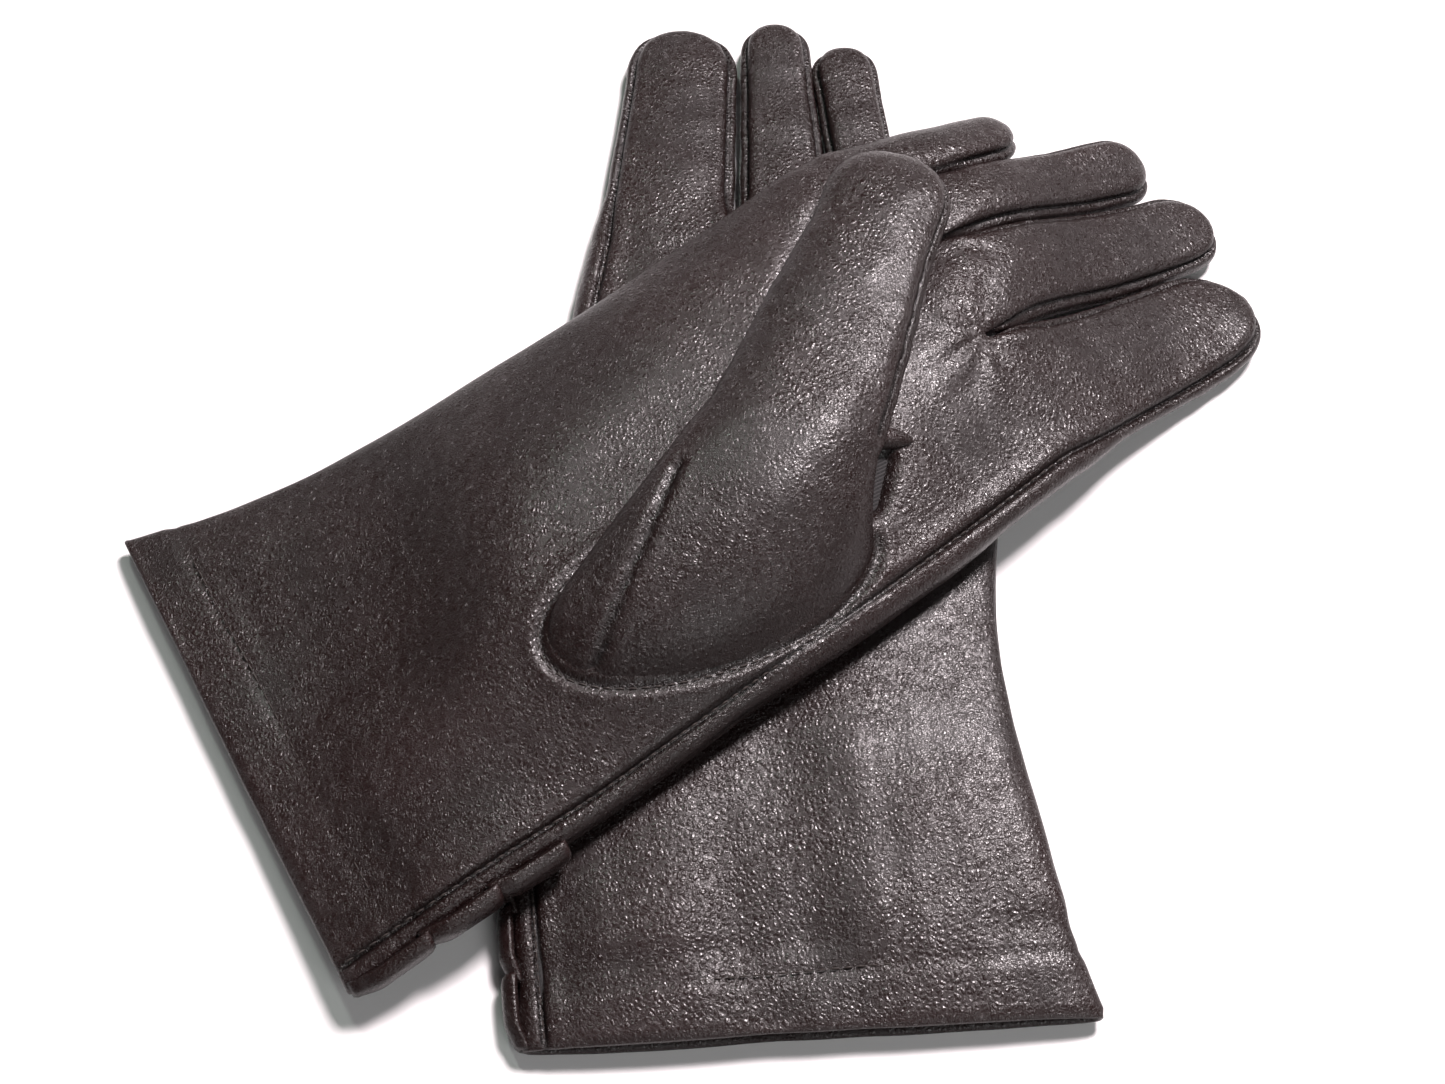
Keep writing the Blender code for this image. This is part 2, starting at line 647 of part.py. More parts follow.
def build_glove(side):
    leather = surface(f"{side}_leather", LEATHER_BROWN, LEATHER_ROUGHNESS)
    turned_edge = surface(f"{side}_turned_edge", EDGE_BROWN, EDGE_ROUGHNESS)
    lining = surface(f"{side}_lining", LINING_GREY, LINING_ROUGHNESS)
    sewing = surface(f"{side}_thread", THREAD_BROWN, THREAD_ROUGHNESS)
    prefix = side + "_"

    cuts = [crotch_box("slot", side, pair, FOURCHETTE_GAP) for pair in NEIGHBOURS]
    trank = glove_shell(prefix + "trank", side, 0.0, LEATHER, 0.0)
    pieces = [settle(boolean(trank, "DIFFERENCE", [palm_hole(side), *cuts]), leather)]
    for pair in NEIGHBOURS:
        name = f"{prefix}fourchette_{pair[0]}_{pair[1]}"
        strip = glove_shell(name, side, 0.0, LEATHER, FOURCHETTE_FROM)
        strip = boolean(strip, "INTERSECT", [crotch_box("band", side, pair, 0.0)])
        pieces.append(settle(strip, leather))

    root = thumb_root_shell(prefix + "thumb_root", side)
    root = boolean(root, "DIFFERENCE", [quirk_space(side, SEAM_GAP / 2.0)])
    quirk = thumb_root_shell(prefix + "thumb_quirk", side)
    quirk = boolean(quirk, "INTERSECT", [quirk_space(side, -SEAM_GAP / 2.0)])
    pieces += [settle(root, leather), settle(quirk, leather)]

    skin = glove_shell(prefix + "hand_lining", side, LEATHER + LAYER_GAP, LINING, HEM_LENGTH + SEAM_GAP)
    pieces.append(settle(boolean(skin, "DIFFERENCE", [palm_hole(side)]), lining))
    pieces.append(settle(hem_band(prefix + "cuff_hem", side), turned_edge))
    for number in range(TUCK_COUNT):
        pieces.append(settle(tuck(f"{prefix}back_tuck_{number + 1}", side, number), turned_edge))
    pieces.append(settle(thread(prefix + "side_seam_thread", side, side_seam_path(side)), sewing))
    pieces.append(settle(thread(prefix + "thumb_seam_thread", side, thumb_seam_path(side)), sewing))
    pieces.append(settle(thread(prefix + "hem_thread", side, hem_seam_path(side)), sewing))

    for finger in FINGERS[side]:
        whole = finger_limb(side, finger)
        hinge = FINGERS[side][finger][3]
        halves = ((0.0, whole.half_width(hinge)), (1.0, FINGERS[side][finger][2][1]))
        root_spot = whole.plan(hinge, 0.0)
        length, thickness = whole.length - hinge, whole.height_at(hinge)
        limb = Limb(
            side, root_spot, whole.direction, length, halves, thickness, 0.0, FINGER_RING, FINGER_LIFT
        )
        end = lined_limb(side, finger + "_finger", limb, leather, lining)
        hinge_empty(f"{prefix}{finger}_curl", side, limb, end)
    thumb = thumb_limb(side)
    end = lined_limb(side, "thumb", thumb, leather, lining)
    hinge_empty(prefix + "thumb_swing", side, thumb, end)
    return pieces


def main():
    for thing in list(bpy.data.objects):
        bpy.data.objects.remove(thing)
    build_glove("left")
    lift = bpy.data.objects.new("right_glove_lift", None)
    bpy.context.scene.collection.objects.link(lift)
    pieces = build_glove("right")
    empties = [thing for thing in bpy.data.objects if thing.type == "EMPTY"]
    hinges = [empty for empty in empties if empty.name.startswith("right_") and empty is not lift]
    hang(lift, pieces + hinges)


main()
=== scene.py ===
"""Looks of a pair of lined leather gloves, palms up, the right one lying across the left one.

Glove coordinates are in millimetres: along runs from the cuff to the fingertips, across runs from the
index side (negative) to the little-finger side, and up is the height over the surface below the glove.
placed() takes them into the frame of the CAD, in metres.
"""

import math

import bmesh
import bpy
import numpy as np
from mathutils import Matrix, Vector
from mathutils.kdtree import KDTree


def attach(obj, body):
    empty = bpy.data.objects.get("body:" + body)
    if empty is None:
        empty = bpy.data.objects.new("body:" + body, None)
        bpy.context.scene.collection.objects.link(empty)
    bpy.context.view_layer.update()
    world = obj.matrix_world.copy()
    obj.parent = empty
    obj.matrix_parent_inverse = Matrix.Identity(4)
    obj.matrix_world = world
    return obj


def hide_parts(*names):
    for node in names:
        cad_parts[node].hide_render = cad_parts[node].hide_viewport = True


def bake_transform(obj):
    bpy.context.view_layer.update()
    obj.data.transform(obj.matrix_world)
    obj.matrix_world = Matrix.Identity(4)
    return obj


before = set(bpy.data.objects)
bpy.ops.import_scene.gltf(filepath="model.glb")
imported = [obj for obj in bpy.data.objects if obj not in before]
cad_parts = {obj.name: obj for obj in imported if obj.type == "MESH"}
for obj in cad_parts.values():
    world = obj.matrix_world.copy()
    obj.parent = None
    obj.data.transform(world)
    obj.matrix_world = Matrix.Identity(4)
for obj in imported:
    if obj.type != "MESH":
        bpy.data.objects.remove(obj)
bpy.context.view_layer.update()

MM = 0.001

# ---------------------------------------------------------------- driving dimensions, as in the CAD
LAYER_GAP = 0.5
HAND_LENGTH = 188.0
CUFF_INDEX_EDGE = {"right": -61.3, "left": -59.0}
KNUCKLE_INDEX_EDGE = -43.0
EDGE_TAPER_POWER = 1.7
FOLD_EDGE = 52.5
FOLD_WAIST = {"right": 6.0, "left": 3.5}
CUFF_FLARE = 4.0
CUFF_FLARE_LENGTH = 30.0
HAND_THICKNESS = {"right": 10.0, "left": 9.4}
HAND_SQUARENESS = 3.2
# Each finger: root and tip centre, half width at root and tip, hinge distance from the root.
FINGERS = {
    "right": {
        "index": ((188.0, -25.0), (250.5, -22.5), (16.3, 12.6), 22.0),
        "middle": ((188.0, 5.0), (257.5, -0.6), (12.0, 10.2), 24.0),
        "ring": ((188.0, 26.8), (251.5, 18.8), (8.9, 8.2), 22.0),
        "little": ((180.0, 43.8), (226.0, 39.2), (7.9, 7.0), 24.0),
    },
    "left": {
        "index": ((188.0, -25.5), (252.0, -22.5), (15.4, 12.6), 22.0),
        "middle": ((188.0, 3.2), (253.5, -1.2), (11.4, 7.9), 24.0),
        "ring": ((188.0, 24.6), (246.5, 15.6), (8.9, 8.0), 29.0),
        "little": ((180.0, 43.4), (222.0, 38.6), (8.0, 7.4), 20.0),
    },
}
FINGER_LIFT = 0.12
FINGER_SQUARENESS = 2.4
FINGER_THINNING = 0.12
TIP_ROUNDING = 1.05
THUMB_ORIGIN = (104.3, -33.5)
THUMB_TURN = math.radians(38.4)
THUMB_HINGE = 38.0
THUMB_LENGTH = {"right": 112.0, "left": 100.0}
THUMB_WIDTHS = ((0.0, 18.6), (0.35, 16.9), (0.68, 14.2))
THUMB_THICKNESS = {"right": 12.6, "left": 6.2}
THUMB_HOLE = (101.3, -29.5)
THUMB_HOLE_HALVES = (37.0, 17.0)
THUMB_HOLE_TURN = math.radians(-8.0)
TUCK_COUNT = 3
TUCK_LENGTH = 15.5
TUCK_OVERLAP = 2.0
TUCK_THICKNESS = 0.9
TUCK_ARC = (math.radians(160.0), math.radians(204.0))
HEM_LENGTH = 12.0
PLACES = {
    "right": {"cuff": (-99.6, -64.1), "turn": math.radians(31.5), "mirror": 1.0, "bend": 0.0, "skew": 0.035},
    "left": {"cuff": (23.9, -124.6), "turn": math.radians(98.0), "mirror": -1.0, "bend": math.radians(-9.0),
             "skew": -0.08},
}
SKEW_LENGTH = 60.0
BEND_START = 35.0
BEND_LENGTH = 60.0
DRAPE_CENTRE_X = 15.4
DRAPE_FLAT_HALF = 53.0
DRAPE_RAMP = 54.0
DRAPE_HEIGHT = HAND_THICKNESS["left"] + 0.9
THUMB_RISE = THUMB_THICKNESS["left"] + 0.9
THUMB_RISE_FLAT = 19.0
THUMB_RISE_RAMP = 42.0

# ---------------------------------------------------------------- surface detail
ROW = 1.1
EDGE_SHARE = 0.915
EDGE_POINTS = 19
SEAM_STEPS = (0.35, 0.8, 1.4, 2.2, 3.2)
WALL_POINTS = 8
SEAM_SHARE = 0.9
ROOT_MORPH = 15.0
BLEND_REACH = 9.0
CUT_REACH = 11.0
LINING_INSET = 2.1
THUMB_SEAM_SHARE = 0.455
QUIRK_SEAM = ((107.0, -7.0), (69.0, -35.0))
GUSSET = ((148.5, -17.5), (156.5, -22.5))
THUMB_GAP = ((141.0, -29.5), (148.5, -22.5))
STITCH_PITCH = 2.6
STITCH_LENGTH = 1.9
STITCH_RADIUS = 0.2
# Soft unevenness of the leather: the height of each layer, and its feature sizes along the three axes.
HAND_SLACK = ((1.1, (44.0, 30.0, 60.0)), (0.45, (19.0, 14.0, 40.0)), (0.10, (7.0, 6.0, 20.0)))
THUMB_SLACK = ((0.45, (17.0, 17.0, 40.0)), (0.16, (6.0, 6.0, 20.0)))
TIP_SECTIONS = 13
TIP_SQUARENESS = 2.3
THUMB_ROOT_RINGS = 44
HAND_ENDS = (187.0, 185.0, 187.5, 184.0, 180.0)
# Distance along the cuff and inset of the rings of the turned hem, from inside to the edge.
HEM_ROLL = ((11.0, 1.9), (6.0, 1.8), (1.6, 1.7), (0.6, 1.5), (0.1, 1.1), (0.0, 0.7), (0.2, 0.3), (0.8, 0.05))
CUFF_START = 1.6
SLUMP = 0.22
LINING_SLUMP = 0.20
SLUMP_LENGTH = 22.0
GAP_DEPTH = 3.2
HEM_STITCHES = (-46.0, 44.0)

# ---------------------------------------------------------------- colours: base, dark, and a paler colour for the painted highlight
HAND_COLOURS = ((0.0110, 0.0046, 0.0042), (0.0062, 0.0030, 0.0026), (0.020, 0.0100, 0.0098))
EDGE_COLOURS = ((0.0120, 0.0051, 0.0047), (0.0068, 0.0034, 0.0030), (0.022, 0.0115, 0.0112))
ROUGHNESS = 0.29
EDGE_GRAIN = 0.7

# ---------------------------------------------------------------- camera
CAMERA_ELEVATION = math.radians(63.0)
CAMERA_DISTANCE = 0.5
LOOK_AT = (0.0045, -0.0129, 0.0)
SENSOR_WIDTH = 36.0
IMAGE_WIDTH = 1445.0
FOCAL_LENGTH_IN_PIXELS = 2250.0
FLOOR_REACH = 3.0


# ---------------------------------------------------------------- placing
def bent(along, across, angle):
    """The glove's plan, bent in its own plane by an arc between its wrist and its palm."""
    if not angle:
        return along, across
    radius = BEND_LENGTH / angle
    turned = angle * np.clip((along - BEND_START) / BEND_LENGTH, 0.0, 1.0)
    past = np.maximum(0.0, along - BEND_START - BEND_LENGTH)
    centre_along = BEND_START + radius * np.sin(turned) + past * np.cos(turned)
    centre_across = radius * (1.0 - np.cos(turned)) + past * np.sin(turned)
    new_along = centre_along - across * np.sin(turned)
    new_across = centre_across + across * np.cos(turned)
    still = along < BEND_START
    return np.where(still, along, new_along), np.where(still, across, new_across)


def on_table(side, along, across):
    where = PLACES[side]
    skew = where["skew"] * np.maximum(0.0, 1.0 - np.maximum(0.0, along) / SKEW_LENGTH) ** 2
    along, across = bent(along + skew * across, across, -where["bend"])
    across = across * where["mirror"]
    cosine, sine = math.cos(where["turn"]), math.sin(where["turn"])
    x = where["cuff"][0] + along * cosine - across * sine
    y = where["cuff"][1] + along * sine + across * cosine
    return x, y


def ramp_down(distance, flat, ramp):
    share = np.clip((np.abs(distance) - flat) / ramp, 0.0, 1.0)
    return 0.5 + 0.5 * np.cos(np.pi * share)


def segment_distance(x, y, start, end):
    run = np.subtract(end, start)
    share = ((x - start[0]) * run[0] + (y - start[1]) * run[1]) / float(run @ run)
    share = np.clip(share, 0.0, 1.0)
    return np.hypot(x - start[0] - run[0] * share, y - start[1] - run[1] * share)


def thumb_point(distance, sideways):
    along = THUMB_ORIGIN[0] + distance * math.cos(THUMB_TURN) - sideways * math.sin(THUMB_TURN)
    across = THUMB_ORIGIN[1] + distance * math.sin(THUMB_TURN) + sideways * math.cos(THUMB_TURN)
    return along, across


def drape(x, y):
    """How far the right glove is lifted at a point of the table by the left glove under it."""
    root = on_table("left", *(np.array(value) for value in THUMB_HOLE))
    tip = on_table("left", *(np.array(value) for value in thumb_point(THUMB_LENGTH["left"] - 10.0, 0.0)))
    near = segment_distance(x, y, root, tip)
    rise = THUMB_RISE * ramp_down(near, THUMB_RISE_FLAT, THUMB_RISE_RAMP)
    return (DRAPE_HEIGHT + rise) * ramp_down(x - DRAPE_CENTRE_X, DRAPE_FLAT_HALF, DRAPE_RAMP)


def placed(side, points):
    """Points of one glove, taken into the pair's frame, in metres."""
    points = np.asarray(points, float).reshape(-1, 3)
    x, y = on_table(side, points[:, 0], points[:, 1])
    up = points[:, 2] + (drape(x, y) if side == "right" else 0.0)
    return np.stack([x, y, up], axis=1) * MM


# ---------------------------------------------------------------- small maths
def smooth(share):
    share = np.clip(share, 0.0, 1.0)
    return share * share * (3.0 - 2.0 * share)


def mound(distance, width):
    return np.exp(-((distance / width) ** 2))


def cloud(points, sizes, seed):
    """Smooth noise between -1 and 1, with one feature size along each axis."""
    spots = np.asarray(points, float) / np.asarray(sizes, float)
    cell = np.floor(spots).astype(np.int64)
    part = spots - cell
    part = part * part * (3.0 - 2.0 * part)
    total = np.zeros(len(spots))
    for corner in range(8):
        offset = np.array([corner & 1, corner >> 1 & 1, corner >> 2 & 1])
        key = (cell + offset) @ np.array([73856093, 19349663, 83492791]) + seed * 2654435761
        key = (key ^ (key >> 13)) * 1274126177 & 0xFFFFFFFF
        key = (key ^ (key >> 16)) * 2246822519 & 0xFFFFFFFF
        value = (key & 0xFFFF) / 32767.5 - 1.0
        total += value * np.prod(np.where(offset, part, 1.0 - part), axis=1)
    return total


def nearest(points, marks):
    """Distance from each point to the nearest of the marks."""
    tree = KDTree(len(marks))
    for number, mark in enumerate(marks):
        tree.insert(mark, number)
    tree.balance()
    return np.array([tree.find(point)[2] for point in points])


def dense(path, step=0.3):
    """A path, resampled so that its points lie close together."""
    path = np.asarray(path, float)
    runs = np.linalg.norm(np.diff(path, axis=0), axis=1)
    reach = np.concatenate([[0.0], np.cumsum(runs)])
    at = np.linspace(0.0, reach[-1], max(2, int(reach[-1] / step)))
    return np.stack([np.interp(at, reach, path[:, axis]) for axis in range(3)], axis=1)


def oval_point(turn, spare):
    """Plan points of the thumb's oval seam, with turn measured from the thumb's sideways direction."""
    facing = THUMB_TURN + math.pi / 2.0 + turn - THUMB_HOLE_TURN
    wide = (THUMB_HOLE_HALVES[0] + spare) * np.cos(facing)
    high = (THUMB_HOLE_HALVES[1] + spare) * np.sin(facing)
    cosine, sine = math.cos(THUMB_HOLE_TURN), math.sin(THUMB_HOLE_TURN)
    return THUMB_HOLE[0] + wide * cosine - high * sine, THUMB_HOLE[1] + wide * sine + high * cosine


# ---------------------------------------------------------------- the hand
def hand_edges(side, along):
    share = np.clip(along / HAND_LENGTH, 0.0, 1.0)
    cuff_edge = CUFF_INDEX_EDGE[side]
    index_edge = cuff_edge + (KNUCKLE_INDEX_EDGE - cuff_edge) * share**EDGE_TAPER_POWER
    flare = CUFF_FLARE * np.maximum(0.0, 1.0 - np.maximum(0.0, along) / CUFF_FLARE_LENGTH) ** 2
    waist = FOLD_WAIST[side] * np.sin(np.pi * share) ** 2
    return index_edge, FOLD_EDGE + flare - waist


def slumped(along, amount):
    """The share of its height that the glove keeps, which is least at the open cuff."""
    return 1.0 - amount * np.exp(-np.maximum(0.0, along) / SLUMP_LENGTH)


def crown(share):
    return np.maximum(0.0, 1.0 - np.abs(share) ** HAND_SQUARENESS) ** (1.0 / HAND_SQUARENESS)


def palm_height(side, along, across):
    low, high = hand_edges(side, np.asarray(along, float))
    share = np.clip((across - (low + high) / 2.0) / ((high - low) / 2.0), -1.0, 1.0)
    return HAND_THICKNESS[side] / 2.0 * (1.0 + crown(share))


def crotches(side):
    """Where neighbouring fingers meet, across the knuckles."""
    fingers = list(FINGERS[side].values())
    meets = []
    for (near, _, near_halves, _), (far, _, far_halves, _) in zip(fingers, fingers[1:]):
        meets.append((near[1] + near_halves[0] + far[1] - far_halves[0]) / 2.0)
    return meets


def top_shares(side):
    """Shares of the half width at which the hand's columns lie, and the places of the crotches among them."""
    low, high = hand_edges(side, HAND_LENGTH)
    middle, half = (low + high) / 2.0, (high - low) / 2.0
    turns = np.linspace(0.0, math.acos(EDGE_SHARE ** (HAND_SQUARENESS / 2.0)), EDGE_POINTS)
    edge = np.cos(turns) ** (2.0 / HAND_SQUARENESS)
    knots = [-EDGE_SHARE] + [(meet - middle) / half for meet in crotches(side)] + [EDGE_SHARE]
    steps = np.array(SEAM_STEPS) / half
    shares = list(-edge)
    marks = []
    for near, far in zip(knots, knots[1:]):
        inner = np.linspace(near + steps[-1], far - steps[-1], max(2, int((far - near) * half / ROW) - 6))
        shares += list(near + steps[:-1]) + list(inner) + list(far - steps[:-1][::-1]) + [far]
        marks.append(len(shares) - 1)
    shares += list(edge[::-1][1:])
    return np.array(shares), marks[:-1]


def end_line(side, shares):
    """How far along the hand ends, between and at its crotches."""
    low, high = hand_edges(side, HAND_LENGTH)
    middle, half = (low + high) / 2.0, (high - low) / 2.0
    knots = [-1.0] + [(meet - middle) / half for meet in crotches(side)] + [1.0]
    return np.interp(shares, knots, HAND_ENDS)


def hand_ring(side, along, shares, upper, inset):
    """Hand points for shares of the half width, on the palm (upper) or the back."""
    low, high = hand_edges(side, along)
    tall = HAND_THICKNESS[side] / 2.0
    across = (low + high) / 2.0 + shares * ((high - low) / 2.0 - inset)
    lift = np.where(upper, 1.0, -1.0) * crown(shares) * (tall - inset)
    return np.stack([along, across, tall + lift], axis=1)


# ---------------------------------------------------------------- fingers and thumbs
class Limb:
    """A finger or thumb along a straight centre line, in the glove's plan."""

    def __init__(self, root, direction, length, widths, thickness, floor):
        self.root = np.array(root, float)
        self.direction = np.array(direction, float) / np.hypot(*direction)
        self.sideways = np.array([-self.direction[1], self.direction[0]])
        self.length, self.widths, self.thickness, self.floor = length, widths, thickness, floor

    def half_width(self, distance):
        shares, halves = zip(*self.widths)
        return float(np.interp(distance / self.length, shares, halves))

    def plan(self, distance, sideways):
        return self.root + self.direction * distance + np.outer(np.atleast_1d(sideways), self.sideways)

    def tall(self, distance):
        return self.thickness * (1.0 - FINGER_THINNING * max(0.0, distance) / self.length)

    def section(self, distance, turns, inset, shrink=1.0):
        """Points of the limb's rounded section at turns from its positive side round over the top."""
        high = self.tall(distance)
        power = 2.0 / FINGER_SQUARENESS
        cosine, sine = np.cos(turns), np.sin(turns)
        half = self.half_width(distance)
        wide = np.sign(cosine) * np.abs(cosine) ** power * (half - inset) * shrink
        lift = np.sign(sine) * np.abs(sine) ** power * (high / 2.0 - inset) * shrink
        spots = self.plan(distance, wide)
        return np.column_stack([spots, self.floor + high / 2.0 + lift])

    def tip_steps(self, inset):
        """Distance and shrink of the sections that round off the tip."""
        reach = self.half_width(self.length) * TIP_ROUNDING
        turns = np.linspace(0.0, math.pi / 2.0, TIP_SECTIONS)[:-1]
        at = self.length - reach + (reach - inset) * np.sin(turns) ** (2.0 / TIP_SQUARENESS)
        return list(zip(at, np.cos(turns) ** (2.0 / TIP_SQUARENESS)))


def finger_limb(side, finger):
    root, tip, halves, _ = FINGERS[side][finger]
    run = np.subtract(tip, root)
    thickness = HAND_THICKNESS[side] - 2.0 * FINGER_LIFT
    widths = ((0.0, halves[0]), (1.0, halves[1]))
    return Limb(root, run, float(np.hypot(*run)), widths, thickness, FINGER_LIFT)


def thumb_limb(side):
    direction = (math.cos(THUMB_TURN), math.sin(THUMB_TURN))
    root = np.array(THUMB_ORIGIN) + np.array(direction) * THUMB_HINGE
    floor = HAND_THICKNESS[side] + LAYER_GAP
    return Limb(root, direction, THUMB_LENGTH[side] - THUMB_HINGE, THUMB_WIDTHS, THUMB_THICKNESS[side], floor)


def share_turns(shares):
    """The section turns that put a point at each share of the half width."""
    return np.arccos(np.sign(shares) * np.abs(shares) ** (FINGER_SQUARENESS / 2.0))


# ---------------------------------------------------------------- growing meshes
class Skin:
    """Points and faces of one leather or lining layer, with the piece that each face belongs to."""

    def __init__(self):
        self.points, self.faces, self.owners = [], [], []
        self.count = 0

    def ring(self, points):
        points = np.asarray(points, float)
        self.points.append(points)
        self.count += len(points)
        return np.arange(self.count - len(points), self.count)

    def bridge(self, near, far, owner):
        total = len(near)
        for step in range(total):
            after = (step + 1) % total
            self.faces.append((near[step], near[after], far[after], far[step]))
            self.owners.append(owner)

    def loft(self, rings, owner, last=None):
        """Joins rings of points one after another, on from the last one, and returns the new last one."""
        for points in rings:
            ring = self.ring(points)
            if last is not None:
                self.bridge(last, ring, owner)
            last = ring
        return last

    def cap(self, ring, centre, owner):
        middle = self.ring([centre])[0]
        for step in range(len(ring)):
            self.faces.append((ring[step - 1], ring[step], middle))
            self.owners.append(owner)

    def array(self):
        return np.concatenate(self.points)


def finger_columns(number, shares, marks):
    """The hand's columns that one finger grows from, and their shares across the finger."""
    bounds = [0] + marks + [len(shares) - 1]
    low, high = bounds[number], bounds[number + 1]
    columns = np.arange(low, high + 1)
    own = shares[columns]
    near = -1.0 if number == 0 else -SEAM_SHARE
    far = 1.0 if number == len(bounds) - 2 else SEAM_SHARE
    if number == 0:
        inner = own >= -EDGE_SHARE
        placed_shares = np.where(inner, np.interp(own, [-EDGE_SHARE, own[-1]], [-SEAM_SHARE, far]), own)
        edge = ~inner
        placed_shares[edge] = -1.0 + (own[edge] + 1.0) * (1.0 - SEAM_SHARE) / (1.0 - EDGE_SHARE)
    elif number == len(bounds) - 2:
        inner = own <= EDGE_SHARE
        placed_shares = np.where(inner, np.interp(own, [own[0], EDGE_SHARE], [near, SEAM_SHARE]), own)
        edge = ~inner
        placed_shares[edge] = 1.0 - (1.0 - own[edge]) * (1.0 - SEAM_SHARE) / (1.0 - EDGE_SHARE)
    else:
        placed_shares = np.interp(own, [own[0], own[-1]], [near, far])
    return columns, placed_shares


def grow_hand(skin, side, inset, start, rows, shares):
    """The hand's rings from the cuff to the knuckles; returns the last of them."""
    count = len(shares)
    ends = end_line(side, shares)
    both = np.concatenate([shares, shares[::-1][1:-1]])
    upper = np.concatenate([np.ones(count, bool), np.zeros(count - 2, bool)])
    both_ends = np.concatenate([ends, ends[::-1][1:-1]])
    places = [start + (both_ends - inset - start) * share for share in rows]
    return skin.loft([hand_ring(side, along, both, upper, inset) for along in places], "hand")


def grow_fingers(skin, side, inset, last, shares, marks, step):
    """The four fingers, growing out of the hand's last ring."""
    count = len(shares)
    top = last[:count]
    bottom = np.concatenate([[last[0]], last[count:][::-1], [last[count - 1]]])
    points = skin.array()
    chains = []
    for mark in marks:
        falls = np.linspace(0.0, 1.0, WALL_POINTS + 2)[1:-1, None]
        chain = points[top[mark]] * (1.0 - falls) + points[bottom[mark]] * falls
        chain[:, 0] -= 1.5 * np.sin(np.pi * falls[:, 0])
        chains.append(skin.ring(chain))
    seams = []
    for number, finger in enumerate(FINGERS[side]):
        columns, own = finger_columns(number, shares, marks)
        high_wall = chains[number] if number < len(marks) else np.array([], int)
        low_wall = chains[number - 1][::-1] if number > 0 else np.array([], int)
        inner_top = columns if number < len(marks) else columns[:-1]
        back = columns[::-1] if number > 0 else columns[::-1][:-1]
        ring = np.concatenate([top[inner_top], high_wall, bottom[back], low_wall])
        seam_turn = math.acos(SEAM_SHARE ** (FINGER_SQUARENESS / 2.0))
        wall_turns = np.linspace(seam_turn, -seam_turn, WALL_POINTS + 2)[1:-1]
        top_turns = share_turns(own)
        back_turns = -top_turns[::-1]
        turns = [top_turns if number < len(marks) else top_turns[:-1]]
        turns.append(wall_turns if number < len(marks) else np.array([]))
        turns.append(back_turns if number > 0 else back_turns[:-1])
        turns.append(math.pi + wall_turns if number > 0 else np.array([]))
        turns = np.concatenate(turns)
        limb = finger_limb(side, finger)
        hinge = FINGERS[side][finger][3]
        cut = hinge - CUT_REACH if inset == 0.0 else hinge
        tips = limb.tip_steps(inset)
        straight = np.arange(cut + step, tips[0][0] - step / 2.0, step)
        roots = np.linspace(0.0, cut, max(3, int(cut / step)))[1:]
        stations = [(at, 1.0) for at in roots] + [(at, 1.0) for at in straight] + tips
        root_points = skin.array()[ring]
        tracks = []
        owner = "hand"
        for at, shrink in stations:
            grown = limb.section(at, turns, inset, shrink)
            start = root_points + np.array([*(limb.direction * at), 0.0])
            share = smooth(at / ROOT_MORPH)
            spots = start * (1.0 - share) + grown * share
            fresh = skin.ring(spots)
            skin.bridge(ring, fresh, owner)
            tracks.append(spots)
            ring = fresh
            if at >= cut:
                owner = finger
        centre = skin.array()[ring].mean(axis=0)
        centre[:2] = limb.plan(limb.length - inset, 0.0)[0]
        skin.cap(ring, centre, owner)
        tracks = np.array(tracks)
        size = len(inner_top)
        if number == 0:
            seams.append(tracks[:, EDGE_POINTS - 1])
        else:
            seams += [tracks[:, 0], tracks[:, size + len(high_wall) + len(back) - 1]]
        if number < len(marks):
            seams += [tracks[:, size - 1], tracks[:, size + len(high_wall)]]
    return seams


def plain_mesh(name, points, faces):
    mesh = bpy.data.meshes.new(name)
    mesh.from_pydata([tuple(point) for point in points], [], [tuple(int(n) for n in face) for face in faces])
    mesh.validate()
    mesh.shade_smooth()
    mesh.update()
    return mesh


def reversed_faces(faces):
    return [face[::-1] for face in faces]


def facing(side, faces):
    """The faces, turned round where the glove is a mirror image, so that they look outwards."""
    return reversed_faces(faces) if PLACES[side]["mirror"] < 0.0 else faces


def vertex_normals(points, faces):
    mesh = plain_mesh("normals", points, faces)
    normals = np.zeros(len(mesh.vertices) * 3)
    mesh.vertices.foreach_get("normal", normals)
    bpy.data.meshes.remove(mesh)
    return normals.reshape(-1, 3)


def settled(side, points, faces):
    """The outward normals of a glove's points once they are placed, and the faces to go with them."""
    normals = vertex_normals(placed(side, points), faces) * PLACES[side]["mirror"]
    return normals, facing(side, faces)


def make_piece(name, side, points, faces, material, masks=None, rest=None, normals=None):
    """An object in the pair's frame, with the glove coordinates of its points kept for its grain."""
    points = np.asarray(points, float)
    mesh = plain_mesh(name, placed(side, points) if side else points * MM, faces)
    keep = mesh.attributes.new("glove_place", "FLOAT_VECTOR", "POINT")
    keep.data.foreach_set("vector", np.asarray(points if rest is None else rest, np.float32).ravel())
    for mask, values in (masks or {}).items():
        layer = mesh.attributes.new(mask, "FLOAT", "POINT")
        layer.data.foreach_set("value", np.asarray(values, np.float32))
    if normals is not None:
        mesh.normals_split_custom_set_from_vertices([tuple(normal) for normal in normals])
    piece = bpy.data.objects.new(name, mesh)
    bpy.context.scene.collection.objects.link(piece)
    piece.data.materials.append(material)
    return piece


def split(skin_faces, owners, owner):
    """The faces of one owner, and the points that they use."""
    chosen = [face for face, own in zip(skin_faces, owners) if own == owner]
    used = np.unique(np.concatenate([np.array(face) for face in chosen]))
    fresh = {old: new for new, old in enumerate(used)}
    return used, [tuple(fresh[n] for n in face) for face in chosen]


